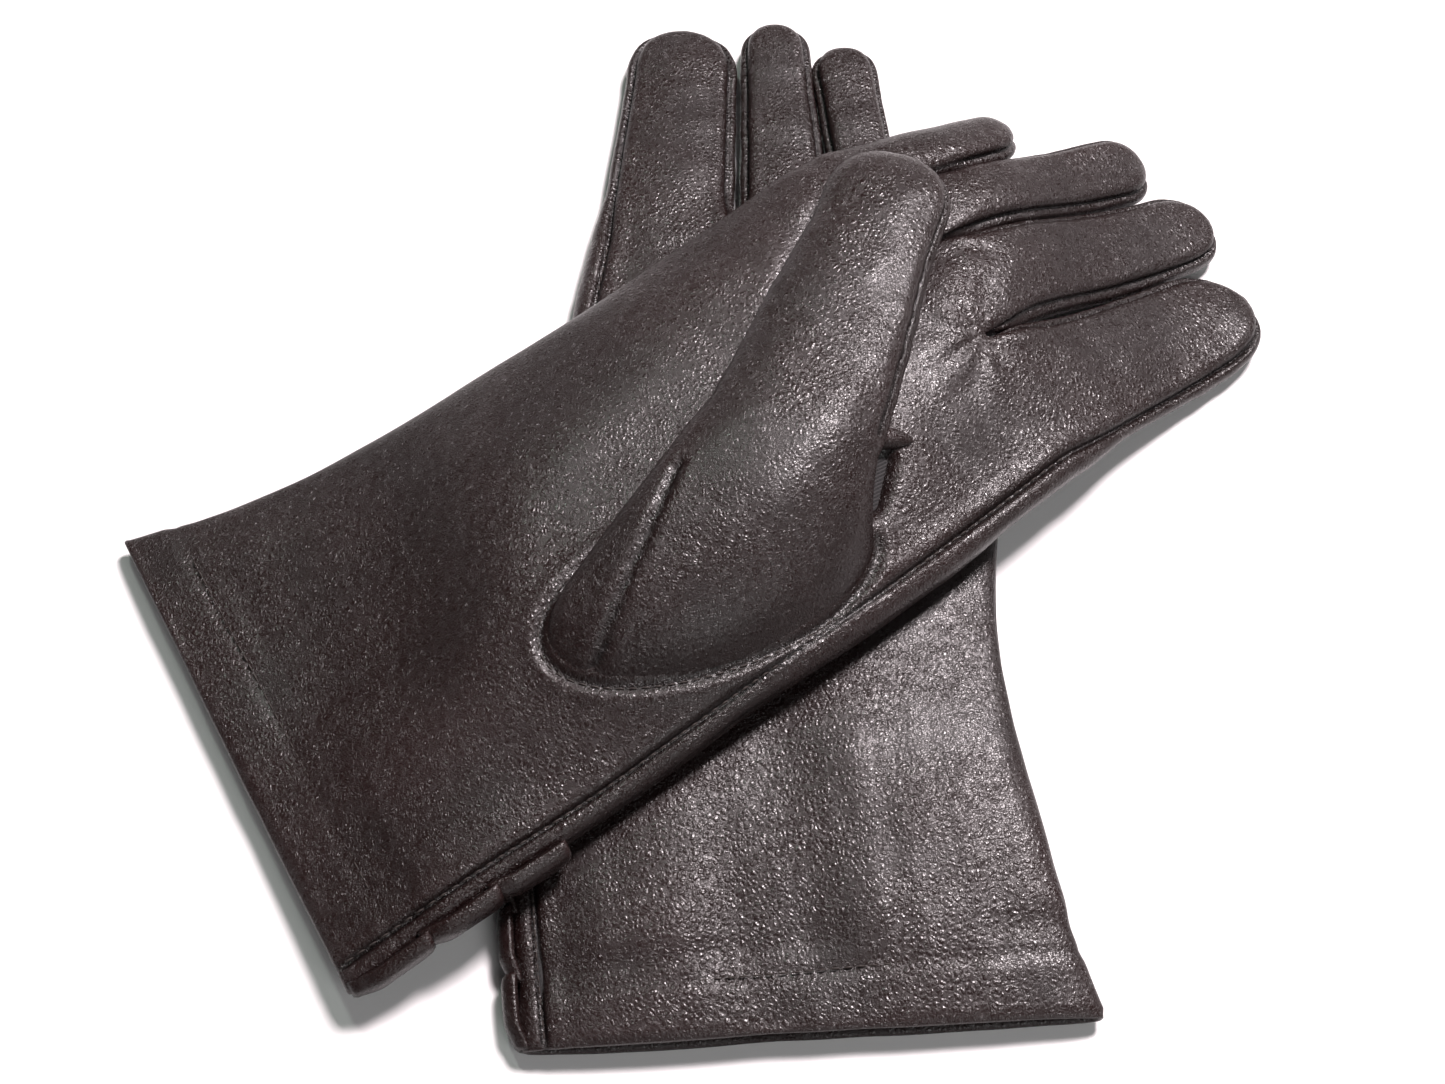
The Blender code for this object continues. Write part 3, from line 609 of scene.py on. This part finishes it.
# ---------------------------------------------------------------- leather relief
def seam_relief(distance, deep=1.25, tight=0.62, puff=0.42):
    """A sewn seam: a sharp valley with the leather rising softly beside it."""
    return -deep * mound(distance, tight) + puff * mound(distance - 2.3, 1.6)


def slack(points, layers, seed):
    """The sum of the layers of soft unevenness, each with its own pattern."""
    return sum(height * cloud(points, sizes, seed + number) for number, (height, sizes) in enumerate(layers))


def crotch_spots(side):
    """Where the palm ends between neighbouring fingers."""
    low, high = hand_edges(side, HAND_LENGTH)
    meets = crotches(side)
    middle, half = (low + high) / 2.0, (high - low) / 2.0
    ends = end_line(side, (np.array(meets) - middle) / half)
    return [(float(end), meet) for end, meet in zip(ends, meets)]


def radiating(points, spot, seed, reach=15.0, folds=9.0):
    """Creases that fan out from a crotch into the palm."""
    out = points[:, :2] - np.array(spot)
    distance = np.hypot(out[:, 0], out[:, 1])
    angle = np.arctan2(out[:, 1], out[:, 0])
    wobble = cloud(points, (9.0, 9.0, 30.0), seed)
    fade = np.exp(-distance / reach) * smooth((distance - 1.0) / 5.0)
    return np.sin(angle * folds + wobble * 3.0) * fade


def hand_relief(side, points, upper, seams):
    """Height of the slack, the folds and the seams over the plain glove, at each point."""
    seed = 11 if side == "right" else 37
    along, across = points[:, 0], points[:, 1]
    relief = slack(points, HAND_SLACK, seed)
    # Long soft folds run up from the cuff, strongest at the wrist.
    cuff = smooth((95.0 - along) / 80.0) * smooth((along - 6.0) / 18.0)
    relief += 1.1 * cuff * cloud(points, (75.0, 13.0, 60.0), seed + 3)
    relief += 0.22 * cuff * cloud(points, (30.0, 4.0, 60.0), seed + 4)
    # The knuckle half of the palm has crosswise slack, where the hand closes.
    palm = smooth((along - 120.0) / 40.0)
    relief += 0.28 * palm * cloud(points, (6.5, 18.0, 40.0), seed + 5)
    fine = smooth(0.5 + 1.2 * cloud(points, (18.0, 16.0, 20.0), seed + 6))
    relief += 0.10 * fine * cloud(points, (2.6, 7.0, 12.0), seed + 7) * smooth((along - 150.0) / 30.0)
    for number, spot in enumerate(crotch_spots(side)):
        relief += np.where(upper, 0.35, 0.15) * radiating(points, spot, seed + 8 + number)
        relief -= 1.3 * mound(np.hypot(along - spot[0], across - spot[1]), 5.0)
    distance = nearest(points, np.concatenate([dense(seam) for seam in seams]))
    gather = 0.16 * np.exp(-distance / 3.5) * cloud(points, (3.2, 9.0, 9.0), seed + 12)
    relief += seam_relief(distance) + gather
    # Above the turned hem the thinner leather sinks a little.
    relief -= 0.6 * mound(along - 17.0, 3.5) * smooth(0.6 + cloud(points, (50.0, 24.0, 50.0), seed + 15))
    # Hem: the turned edge makes a low band, with its row of stitches sunk at the end of it.
    relief += 0.25 * smooth((HEM_LENGTH - along) / 3.0)
    sunk = 0.6 + 0.4 * cloud(points, (40.0, 12.0, 40.0), seed + 13)
    relief -= 0.35 * mound(along - HEM_LENGTH, 1.1) * sunk
    relief += 0.35 * smooth((14.0 - along) / 14.0) * cloud(points, (60.0, 9.0, 60.0), seed + 14)
    return relief, distance


def under_thumb(side, points, relief):
    """The palm stays low beneath the thumb, and inside the oval that the thumb grows out of."""
    start, end = thumb_point(0.0, 0.0), thumb_point(THUMB_LENGTH[side], 0.0)
    beside = segment_distance(points[:, 0], points[:, 1], start, end)
    near = smooth((19.0 - beside) / 6.0)
    along = (points[:, 0] - THUMB_HOLE[0]) / (THUMB_HOLE_HALVES[0] + 3.0)
    across = (points[:, 1] - THUMB_HOLE[1]) / (THUMB_HOLE_HALVES[1] + 3.0)
    within = smooth((1.25 - np.hypot(along, across)) / 0.3)
    near = np.maximum(near, within)
    return relief * (1.0 - near) + np.minimum(relief * 0.4, 0.15) * near


def side_seam_path(side):
    """The side seam over the hand, which runs just inside its index edge on the palm."""
    along = np.arange(0.5, end_line(side, np.array([-EDGE_SHARE]))[0], 1.0)
    low, high = hand_edges(side, along)
    across = (low + high) / 2.0 - EDGE_SHARE * (high - low) / 2.0
    return np.stack([along, across, palm_height(side, along, across)], axis=1)


def oval_path(side, start, end, spare):
    turns = np.radians(np.linspace(start, end, 120))
    along, across = oval_point(turns, spare)
    return np.stack([along, across, palm_height(side, along, across)], axis=1)


# ---------------------------------------------------------------- materials
class Finish:
    """A material's nodes, fed with the glove coordinates of each point."""

    def __init__(self, name):
        self.material = bpy.data.materials.new(name)
        self.material.use_nodes = True
        self.tree = self.material.node_tree
        self.shader = self.tree.nodes["Principled BSDF"]
        self.place = self.mask("glove_place", "Vector")

    def feed(self, node, sockets):
        """Sets a node's sockets to values, or joins them to the outputs of other nodes."""
        for socket, value in sockets.items():
            if isinstance(value, bpy.types.NodeSocket):
                self.tree.links.new(value, node.inputs[socket])
            else:
                node.inputs[socket].default_value = value

    def node(self, kind, output, sockets, **settings):
        made = self.tree.nodes.new("ShaderNode" + kind)
        for setting, value in settings.items():
            setattr(made, setting, value)
        self.feed(made, sockets)
        return made.outputs[output]

    def mask(self, attribute, output="Fac"):
        return self.node("Attribute", output, {}, attribute_name=attribute)

    def noise(self, scale, detail=2.0, output="Fac"):
        return self.node("TexNoise", output, {"Vector": self.place, "Scale": scale, "Detail": detail})

    def pebbles(self, spots, scale, edge):
        """Rounded cells with grooves between them."""
        sockets = {"Vector": spots, "Scale": scale}
        distance = self.node("TexVoronoi", "Distance", sockets, feature="DISTANCE_TO_EDGE")
        sockets = {"Value": distance, "From Max": edge}
        return self.node("MapRange", "Result", sockets, interpolation_type="SMOOTHSTEP")

    def times_plus(self, value, factor, other):
        return self.node("Math", "Value", {0: value, 1: factor, 2: other}, operation="MULTIPLY_ADD")

    def mix(self, share, first, second):
        return self.node("Mix", "Result", {"Factor": share, "A": first, "B": second}, data_type="RGBA")

    def bump(self, height, strength, distance):
        sockets = {"Height": height, "Strength": strength, "Distance": distance}
        self.feed(self.shader, {"Normal": self.node("Bump", "Normal", sockets)})


def leather(name, base, dark, lit, roughness, grain=1.0):
    """Dark nappa with pebble grain, pores and soft patches, with painted shade in seams, gaps and hollows and
    a painted highlight on raised leather and edges.
    """
    finish = Finish(name)
    warp = finish.noise(0.35, output="Color")
    sockets = {0: warp, 1: (1.6, 1.6, 1.6), 2: finish.place}
    spots = finish.node("VectorMath", "Vector", sockets, operation="MULTIPLY_ADD")
    large = finish.pebbles(spots, 0.85, 0.38)
    small = finish.pebbles(spots, 2.3, 0.16)
    pores = finish.noise(3.5, 4.0)
    sockets = {"Value": finish.noise(0.045, 3.0), "From Min": 0.35, "From Max": 0.65, "To Min": 0.35}
    patches = finish.node("MapRange", "Result", sockets)
    coarse = finish.node("Math", "Value", {0: large, 1: patches}, operation="MULTIPLY")
    height = finish.times_plus(pores, 0.2, finish.times_plus(small, 0.45, coarse))
    finish.bump(height, 1.0, 0.00009 * grain)

    blotch = finish.mix(patches, (*dark, 1.0), (*base, 1.0))
    # Painted highlight: a paler colour laid on where the highlight mask is high, on raised leather, fold ends
    # and the cuff edge.
    with_painted_highlight = finish.mix(finish.mask("painted_highlight"), blotch, (*lit, 1.0))
    # Painted shade: a near-black colour laid into seams, gaps and hollows where the shade mask is high.
    painted_shade = (dark[0] * 0.25, dark[1] * 0.25, dark[2] * 0.25, 1.0)
    sockets = {"Value": height, "To Min": roughness + 0.12, "To Max": roughness - 0.04}
    gloss = finish.node("MapRange", "Result", sockets)
    colour = finish.mix(finish.mask("painted_shade"), with_painted_highlight, painted_shade)
    finish.feed(finish.shader, {"Base Color": colour, "Roughness": gloss, "Specular IOR Level": 0.5})
    return finish.material


def knit(name, base, dark):
    """Soft knitted lining: fine ribs of loops."""
    finish = Finish(name)
    sockets = {"Vector": finish.place, "Scale": 0.45, "Distortion": 1.2, "Detail": 2.0}
    ribs = finish.node("TexWave", "Fac", sockets, bands_direction="Y")
    fuzz = finish.noise(2.4)
    height = finish.node("Math", "Value", {0: ribs, 1: fuzz}, operation="ADD")
    finish.bump(height, 1.0, 0.0003)
    colour = finish.mix(ribs, (*dark, 1.0), (*base, 1.0))
    finish.feed(finish.shader, {"Base Color": colour, "Roughness": 0.95, "Sheen Weight": 0.3})
    return finish.material


def cotton(name, base):
    """Sewing thread, with its twist."""
    finish = Finish(name)
    shade = (base[0] * 0.6, base[1] * 0.6, base[2] * 0.6, 1.0)
    colour = finish.mix(finish.noise(6.0), shade, (*base, 1.0))
    finish.feed(finish.shader, {"Base Color": colour, "Roughness": 0.7})
    return finish.material


# ---------------------------------------------------------------- pieces of a glove
def leather_skin(side, nappa):
    """The hand and the four fingers, one skin of leather, cut into the hand and one piece for each finger a
    little before its hinge.
    """
    skin = Skin()
    shares, marks = top_shares(side)
    count = len(shares)
    both = np.concatenate([shares, shares[::-1][1:-1]])
    upper_ring = np.concatenate([np.ones(count, bool), np.zeros(count - 2, bool)])
    # The turned hem comes out of the inside and round the edge.
    level = np.ones(len(both))
    roll = [hand_ring(side, along * level, both, upper_ring, inset) for along, inset in HEM_ROLL]
    hem_end = skin.loft(roll, "hand")
    rows = np.linspace(0.0, 1.0, int(HAND_LENGTH / ROW))
    first = skin.count
    last = grow_hand(skin, side, 0.0, CUFF_START, rows, shares)
    skin.bridge(hem_end, np.arange(first, first + len(both)), "hand")
    seams = grow_fingers(skin, side, 0.0, last, shares, marks, ROW)
    points, faces = skin.array(), reversed_faces(skin.faces)
    normals = vertex_normals(points, faces)
    upper = normals[:, 2] > -0.2
    seams = seams + [side_seam_path(side)]
    relief, distance = hand_relief(side, points, upper, seams)
    relief = under_thumb(side, points, relief)
    oval = nearest(points, dense(oval_path(side, -30.0, 215.0, 0.6)))
    relief += np.where(upper, seam_relief(oval, 1.2, 0.8, 0.5), 0.0)
    gap = segment_distance(points[:, 0], points[:, 1], *THUMB_GAP)
    relief -= np.where(upper, GAP_DEPTH * mound(gap, 2.4), 0.0)
    inside = points[:, 0] < HEM_LENGTH
    inside &= np.arange(len(points)) < first
    relief[inside] *= 0.3
    # The back lies on what is below it, so it stays flat there.
    relief = np.where(upper, relief, np.minimum(relief, 0.0) * 0.5)
    moved = points + normals * relief[:, None]
    moved[:, 2] *= slumped(points[:, 0], SLUMP)
    moved[:, 2] = np.maximum(moved[:, 2], 0.0)
    # Painted shade along the seams and the thumb's oval seam, and in the gap beside the gusset.
    painted_shade_mask = 0.9 * mound(np.minimum(distance, np.where(upper, oval, 9.0)), 0.7)
    painted_shade_mask = np.maximum(painted_shade_mask, np.where(upper, mound(gap, 2.0), 0.0))
    # Painted highlight on the raised leather and along the cuff edge.
    painted_highlight = 0.5 * smooth(relief / 1.4) + 0.45 * mound(points[:, 0], 2.5)
    normals, faces = settled(side, moved, faces)
    for owner in ["hand", *FINGERS[side]]:
        used, own_faces = split(faces, skin.owners, owner)
        masks = {"painted_shade": painted_shade_mask[used], "painted_highlight": painted_highlight[used]}
        name = f"{side}_{owner}_skin"
        rest, turned = points[used], normals[used]
        piece = make_piece(name, side, moved[used], own_faces, nappa, masks, rest, turned)
        if owner == "hand":
            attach(piece, side + "_glove")
            nodes = [f"{side}_trank", f"{side}_cuff_hem"]
            nodes += [f"{side}_fourchette_{pair}" for pair in ("index_middle", "middle_ring", "ring_little")]
            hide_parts(*nodes)
        else:
            start, end = hinge_span(side, finger_limb(side, owner), FINGERS[side][owner][3])
            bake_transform(piece)
            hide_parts(f"{side}_{owner}_finger")


def hinge_span(side, limb, hinge):
    """Level points before and after a hinge."""
    spots = [[*limb.plan(hinge + reach, 0.0)[0], 0.0] for reach in (-BLEND_REACH, BLEND_REACH)]
    start, end = placed(side, spots)
    start[2] = end[2] = 0.0
    return tuple(start), tuple(end)


def lining_skin(side, cloth):
    """The knitted lining inside the hand and the fingers."""
    skin = Skin()
    shares, marks = top_shares(side)
    last = grow_hand(skin, side, LINING_INSET, 9.0, np.linspace(0.0, 1.0, 60), shares)
    grow_fingers(skin, side, LINING_INSET, last, shares, marks, 3.0)
    points, faces = skin.array(), reversed_faces(skin.faces)
    points[:, 2] += 0.15 * cloud(points, (9.0, 5.0, 20.0), 5)
    points[:, 2] *= slumped(points[:, 0], LINING_SLUMP)
    faces = facing(side, faces)
    for owner in ["hand", *FINGERS[side]]:
        used, own_faces = split(faces, skin.owners, owner)
        piece = make_piece(f"{side}_{owner}_knit", side, points[used], own_faces, cloth)
        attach(piece, side + "_glove" if owner == "hand" else f"{side}_{owner}")
        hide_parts(f"{side}_hand_lining" if owner == "hand" else f"{side}_{owner}_finger_lining")


def thumb_skin(side, nappa, cloth):
    """The thumb: its root grows out of the oval seam in the palm, and the rest lies over the palm."""
    limb = thumb_limb(side)
    turns = np.linspace(0.0, math.tau, 97)[:-1]
    skin = Skin()
    foot_along, foot_across = oval_point(turns, -0.4)
    foot = np.stack([foot_along, foot_across, palm_height(side, foot_along, foot_across) - 0.35], axis=1)
    cut = -CUT_REACH
    upright = limb.section(0.0, turns, 0.0)
    knee = foot + (upright - foot) * 0.30
    knee[:, 2] = foot[:, 2] + (upright[:, 2] - foot[:, 2]) * 0.92
    tips = limb.tip_steps(0.0)
    seam_column = int(len(turns) * THUMB_SEAM_SHARE)
    rings = []
    for share in np.linspace(0.0, 1.0, THUMB_ROOT_RINGS):
        rings.append(foot * (1.0 - share) ** 2 + knee * 2.0 * share * (1.0 - share) + upright * share**2)
    for at, shrink in [(at, 1.0) for at in np.arange(ROW, tips[0][0] - 0.5, ROW)] + tips:
        rings.append(limb.section(at, turns, 0.0, shrink))
    centre = limb.section(limb.length, turns, 0.0, 0.0)[0]
    skin.cap(skin.loft(rings, "thumb"), centre, "thumb")
    seam_path = [ring[seam_column] for ring in rings]
    points, faces = skin.array(), skin.faces
    normals = vertex_normals(points, faces)
    seed = 71 if side == "right" else 83
    seam = nearest(points, dense(seam_path[THUMB_ROOT_RINGS + 2:]))
    upper = normals[:, 2] > 0.0
    relief = seam_relief(seam, 1.0, 0.6, 0.3)
    flat = np.hypot(points[:, 0] - THUMB_ORIGIN[0], points[:, 1] - THUMB_ORIGIN[1])
    relief += slack(points, THUMB_SLACK, seed)
    tip_zone = smooth((flat - 45.0) / 40.0)
    wrinkled = smooth(0.5 + 1.3 * cloud(points, (13.0, 13.0, 20.0), seed + 2))
    turned = rotate_plan(points, THUMB_TURN)
    relief += 0.17 * tip_zone * wrinkled * cloud(turned, (2.8, 7.5, 9.0), seed + 3)
    relief += 0.10 * wrinkled * cloud(turned, (3.0, 4.0, 9.0), seed + 4)
    relief += 0.2 * np.exp(-seam / 4.0) * cloud(turned, (3.5, 9.0, 9.0), seed + 5)
    quirk = segment_distance(points[:, 0], points[:, 1], *QUIRK_SEAM)
    relief += np.where(upper, seam_relief(quirk, 1.3, 0.8, 0.4), 0.0)
    foot_fade = smooth((nearest(points, dense(np.vstack([foot, foot[:1]]))) - 0.4) / 2.0)
    moved = points + normals * (relief * foot_fade)[:, None]
    floor = palm_height(side, moved[:, 0], moved[:, 1]) + 0.2
    moved[:, 2] = np.where(foot_fade > 0.99, np.maximum(moved[:, 2], floor), moved[:, 2])
    # Painted shade along the thumb's seam and the quirk seam.
    painted_shade_mask = 0.85 * mound(np.minimum(seam, np.where(upper, quirk, 9.0)), 0.7)
    # Painted highlight on the raised leather of the thumb.
    painted_highlight = 0.45 * smooth(relief / 1.0)
    # The thumb's own piece starts at an upright plane before the hinge.
    distance = (points[:, :2] - limb.root) @ limb.direction
    far = distance > cut
    owners = ["thumb" if all(far[n] for n in face) else "root" for face in faces]
    normals, faces = settled(side, moved, faces)
    for owner in ("root", "thumb"):
        used, own_faces = split(faces, owners, owner)
        masks = {"painted_shade": painted_shade_mask[used], "painted_highlight": painted_highlight[used]}
        name = f"{side}_thumb_skin" if owner == "thumb" else f"{side}_thumb_root_skin"
        rest, turned = points[used], normals[used]
        piece = make_piece(name, side, moved[used], own_faces, nappa, masks, rest, turned)
        if owner == "thumb":
            start, end = hinge_span(side, limb, 0.0)
            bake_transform(piece)
            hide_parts(side + "_thumb")
        else:
            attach(piece, side + "_glove")
            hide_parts(side + "_thumb_root", side + "_thumb_quirk")
    thumb_lining(side, limb, turns, cloth)


def gusset(side, nappa):
    """The tip of the thumb's gusset, a small folded tongue of leather beside the thumb."""
    start, end = np.array(GUSSET)
    ahead = (end - start) / np.hypot(*(end - start))
    aside = np.array([-ahead[1], ahead[0]])
    base = float(palm_height(side, *start)) - 0.6
    turns = np.linspace(0.0, math.tau, 25)[:-1]
    skin = Skin()
    rings = []
    for share in np.linspace(0.0, 1.0, 16):
        slim = math.sqrt(max(0.0, 1.0 - share**2.6))
        middle = start + (end - start) * share
        wide = (2.9 - 0.9 * share) * slim * np.cos(turns)
        fold = 0.55 * mound(np.cos(turns) - 0.15, 0.16) * np.sin(turns) * slim
        high = (2.6 - 0.9 * share) * slim * np.sin(turns) - fold
        rings.append(np.column_stack([middle + np.outer(wide, aside), base + 1.0 + high]))
    last = skin.loft(rings, "gusset")
    skin.cap(last, skin.array()[last].mean(axis=0), "gusset")
    points = skin.array()
    rise = points[:, 2] - base
    # Painted shade low on the gusset tip, and a painted highlight on its top.
    masks = {"painted_shade": 0.9 * smooth((1.2 - rise) / 1.6), "painted_highlight": 0.9 * smooth((rise - 2.2) / 1.2)}
    piece = make_piece(f"{side}_gusset_tip", side, points, skin.faces, nappa, masks)
    fix_normals(piece)
    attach(piece, side + "_glove")


def rotate_plan(points, turn):
    """The points, with their plan turned so that a limb at this angle lies along the first axis."""
    cosine, sine = math.cos(turn), math.sin(turn)
    along = points[:, 0] * cosine + points[:, 1] * sine
    across = points[:, 1] * cosine - points[:, 0] * sine
    return np.stack([along, across, points[:, 2]], axis=1)


def thumb_lining(side, limb, turns, cloth):
    """The lining of the thumb, from its hinge to its tip."""
    skin = Skin()
    inset = 1.7
    tips = limb.tip_steps(inset)
    stations = [(at, 1.0) for at in np.linspace(0.4, tips[0][0], 14)[:-1]] + tips
    last = skin.loft([limb.section(at, turns, inset, shrink) for at, shrink in stations], "lining")
    skin.cap(last, limb.section(limb.length - inset, turns, inset, 0.0)[0], "lining")
    faces = skin.faces
    faces = facing(side, faces)
    piece = make_piece(f"{side}_thumb_knit", side, skin.array(), faces, cloth)
    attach(piece, side + "_thumb")
    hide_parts(side + "_thumb_lining")


def tuck(side, number, edge_leather):
    """One of the overlapping leather strips round the index edge of the back of the cuff."""
    start = 0.5 + number * TUCK_LENGTH
    end = start + TUCK_LENGTH + TUCK_OVERLAP
    under, over = LAYER_GAP, LAYER_GAP + TUCK_THICKNESS + 0.3
    skin = Skin()
    last = None
    turns = np.linspace(TUCK_ARC[0], TUCK_ARC[1], 19)
    for share in np.linspace(0.0, 1.0, 25):
        along = start + (end - start) * share
        low, high = hand_edges(side, along)
        middle, half = (low + high) / 2.0, (high - low) / 2.0
        tall = HAND_THICKNESS[side] / 2.0
        offset = under + (over - under) * smooth((share - 0.05) / 0.3)
        roll = math.sqrt(max(0.0, 1.0 - abs(2.0 * share - 1.0) ** 6))
        thick = TUCK_THICKNESS * (0.35 + 0.65 * roll)
        outline = []
        for reach, order in ((offset + thick, 1), (offset, -1)):
            for turn in turns[::order]:
                cosine, sine = math.cos(turn), math.sin(turn)
                puff = 0.35 * roll * math.sin(math.pi * (turn - TUCK_ARC[0]) / (TUCK_ARC[1] - TUCK_ARC[0]))
                spread = reach + (puff if order == 1 else 0.0)
                wide = math.copysign(abs(cosine) ** (2.0 / HAND_SQUARENESS), cosine) * (half + spread)
                rise = math.copysign(abs(sine) ** (2.0 / HAND_SQUARENESS), sine) * (tall + spread)
                height = (tall + rise) * slumped(along, SLUMP)
                outline.append((along, middle + wide, height))
        ring = skin.ring(outline)
        if last is not None:
            skin.bridge(last, ring, "tuck")
        else:
            skin.cap(ring[::-1], np.mean(outline, axis=0), "tuck")
        last = ring
    skin.cap(last, skin.array()[last].mean(axis=0), "tuck")
    points = skin.array()
    shakes = [cloud(points, (5.0, 5.0, 4.0), 61 + number + axis) for axis in range(3)]
    points = points + 0.12 * np.stack(shakes, axis=1)
    # Painted highlight on the folded end of the strip.
    masks = {"painted_shade": np.zeros(len(points)), "painted_highlight": 0.5 * smooth(1.0 - np.abs(points[:, 0] - end) / 2.5)}
    piece = make_piece(f"{side}_tuck_{number + 1}_strip", side, points, skin.faces, edge_leather, masks)
    fix_normals(piece)
    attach(piece, side + "_glove")
    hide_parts(f"{side}_back_tuck_{number + 1}")


def fix_normals(piece):
    shape = bmesh.new()
    shape.from_mesh(piece.data)
    bmesh.ops.recalc_face_normals(shape, faces=shape.faces)
    shape.to_mesh(piece.data)
    shape.free()


def stitches(name, side, path, lift, thread):
    """A row of separate stitches along a path, each a short capsule dipping into the leather at its ends."""
    path = dense(path, 0.2)
    runs = np.linalg.norm(np.diff(path, axis=0), axis=1)
    reach = np.concatenate([[0.0], np.cumsum(runs)])
    skin = Skin()
    for number in range(int(reach[-1] / STITCH_PITCH)):
        begin = number * STITCH_PITCH + 0.3
        rings = []
        for share in np.linspace(0.0, 1.0, 6):
            at = begin + STITCH_LENGTH * share
            spot = np.array([np.interp(at, reach, path[:, axis]) for axis in range(3)])
            ahead = np.array([np.interp(at + 0.3, reach, path[:, axis]) for axis in range(3)]) - spot
            ahead = ahead / max(1e-6, np.linalg.norm(ahead))
            sideways = np.cross(ahead, [0.0, 0.0, 1.0])
            upwards = np.cross(sideways, ahead)
            arch = math.sin(math.pi * share)
            radius = STITCH_RADIUS * (0.35 + 0.65 * arch**0.5)
            centre = spot + upwards * (lift + 0.35 * arch)
            turns = np.arange(6) * math.tau / 6.0
            circle = np.outer(np.cos(turns), sideways) + np.outer(np.sin(turns), upwards)
            rings.append(centre + radius * circle)
        skin.loft(rings, "thread")
    piece = make_piece(name, side, skin.array(), skin.faces, thread)
    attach(piece, side + "_glove")
    return piece


def build_glove(side):
    nappa = leather(side + "_nappa", *HAND_COLOURS, ROUGHNESS)
    edge = leather(side + "_edge_nappa", *EDGE_COLOURS, ROUGHNESS, EDGE_GRAIN)
    cloth = knit(side + "_knit", (0.022, 0.020, 0.021), (0.009, 0.008, 0.009))
    thread = cotton(side + "_cotton", (0.030, 0.021, 0.018))
    leather_skin(side, nappa)
    lining_skin(side, cloth)
    thumb_skin(side, nappa, cloth)
    gusset(side, nappa)
    for number in range(TUCK_COUNT):
        tuck(side, number, edge)
    row = stitches(side + "_side_stitches", side, side_seam_path(side)[1:], -0.55, thread)
    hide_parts(side + "_side_seam_thread")
    row = stitches(side + "_thumb_stitches", side, oval_path(side, -8.0, 172.0, 1.0), -0.7, thread)
    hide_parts(side + "_thumb_seam_thread")
    across = np.arange(*HEM_STITCHES, 1.0)
    along = np.full(len(across), HEM_LENGTH)
    flat = palm_height(side, along, across) * slumped(along, SLUMP)
    row = stitches(side + "_hem_stitches", side, np.stack([along, across, flat], axis=1), -0.25, thread)
    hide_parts(side + "_hem_thread")


# ---------------------------------------------------------------- stage, light, camera
def plain(name, colour, roughness):
    material = bpy.data.materials.new(name)
    material.use_nodes = True
    shader = material.node_tree.nodes["Principled BSDF"]
    shader.inputs["Base Color"].default_value = (*colour, 1.0)
    shader.inputs["Roughness"].default_value = roughness
    return material


def floor():
    mesh = bpy.data.meshes.new("floor")
    corners = [(x * FLOOR_REACH, y * FLOOR_REACH, 0.0) for x, y in ((-1, -1), (1, -1), (1, 1), (-1, 1))]
    mesh.from_pydata(corners, [], [(0, 1, 2, 3)])
    sheet = bpy.data.objects.new("floor", mesh)
    sheet.data.materials.append(plain("floor_white", (0.9, 0.9, 0.9), 0.9))
    bpy.context.scene.collection.objects.link(sheet)


def lamp(name, place, aim, size, power, colour=(1.0, 1.0, 1.0)):
    light = bpy.data.lights.new(name, "AREA")
    light.shape = "RECTANGLE"
    light.size, light.size_y = size
    light.energy = power
    light.color = colour
    thing = bpy.data.objects.new(name, light)
    thing.location = place
    thing.rotation_mode = "QUATERNION"
    thing.rotation_quaternion = (Vector(aim) - Vector(place)).to_track_quat("-Z", "Y")
    bpy.context.scene.collection.objects.link(thing)


def studio():
    world = bpy.data.worlds.new("studio")
    world.use_nodes = True
    background = world.node_tree.nodes["Background"]
    background.inputs["Color"].default_value = (1.0, 0.96, 0.96, 1.0)
    background.inputs["Strength"].default_value = 0.045
    bpy.context.scene.world = world
    bpy.context.scene.view_settings.view_transform = "Standard"
    lamp("back_window", (0.32, 0.36, 0.86), (0.04, 0.0, 0.0), (0.22, 0.24), 18.0, (1.0, 0.90, 0.92))
    lamp("left_window", (-0.19, 0.45, 0.90), (-0.05, 0.0, 0.0), (0.09, 0.09), 1.2, (0.85, 1.0, 0.88))
    lamp("front_fill", (0.5, -0.9, 0.9), (0.0, 0.0, 0.0), (0.8, 0.8), 5.0)


def camera():
    back = Vector((0.0, -math.cos(CAMERA_ELEVATION), math.sin(CAMERA_ELEVATION)))
    data = bpy.data.cameras.new("camera")
    data.sensor_width = SENSOR_WIDTH
    data.lens = SENSOR_WIDTH * FOCAL_LENGTH_IN_PIXELS / IMAGE_WIDTH
    data.clip_start = 0.01
    thing = bpy.data.objects.new("camera", data)
    thing.location = Vector(LOOK_AT) + back * CAMERA_DISTANCE
    thing.rotation_mode = "QUATERNION"
    thing.rotation_quaternion = (-back).to_track_quat("-Z", "Y")
    bpy.context.scene.collection.objects.link(thing)
    bpy.context.scene.camera = thing


def main():
    camera()
    floor()
    studio()
    for side in ("left", "right"):
        build_glove(side)


main()
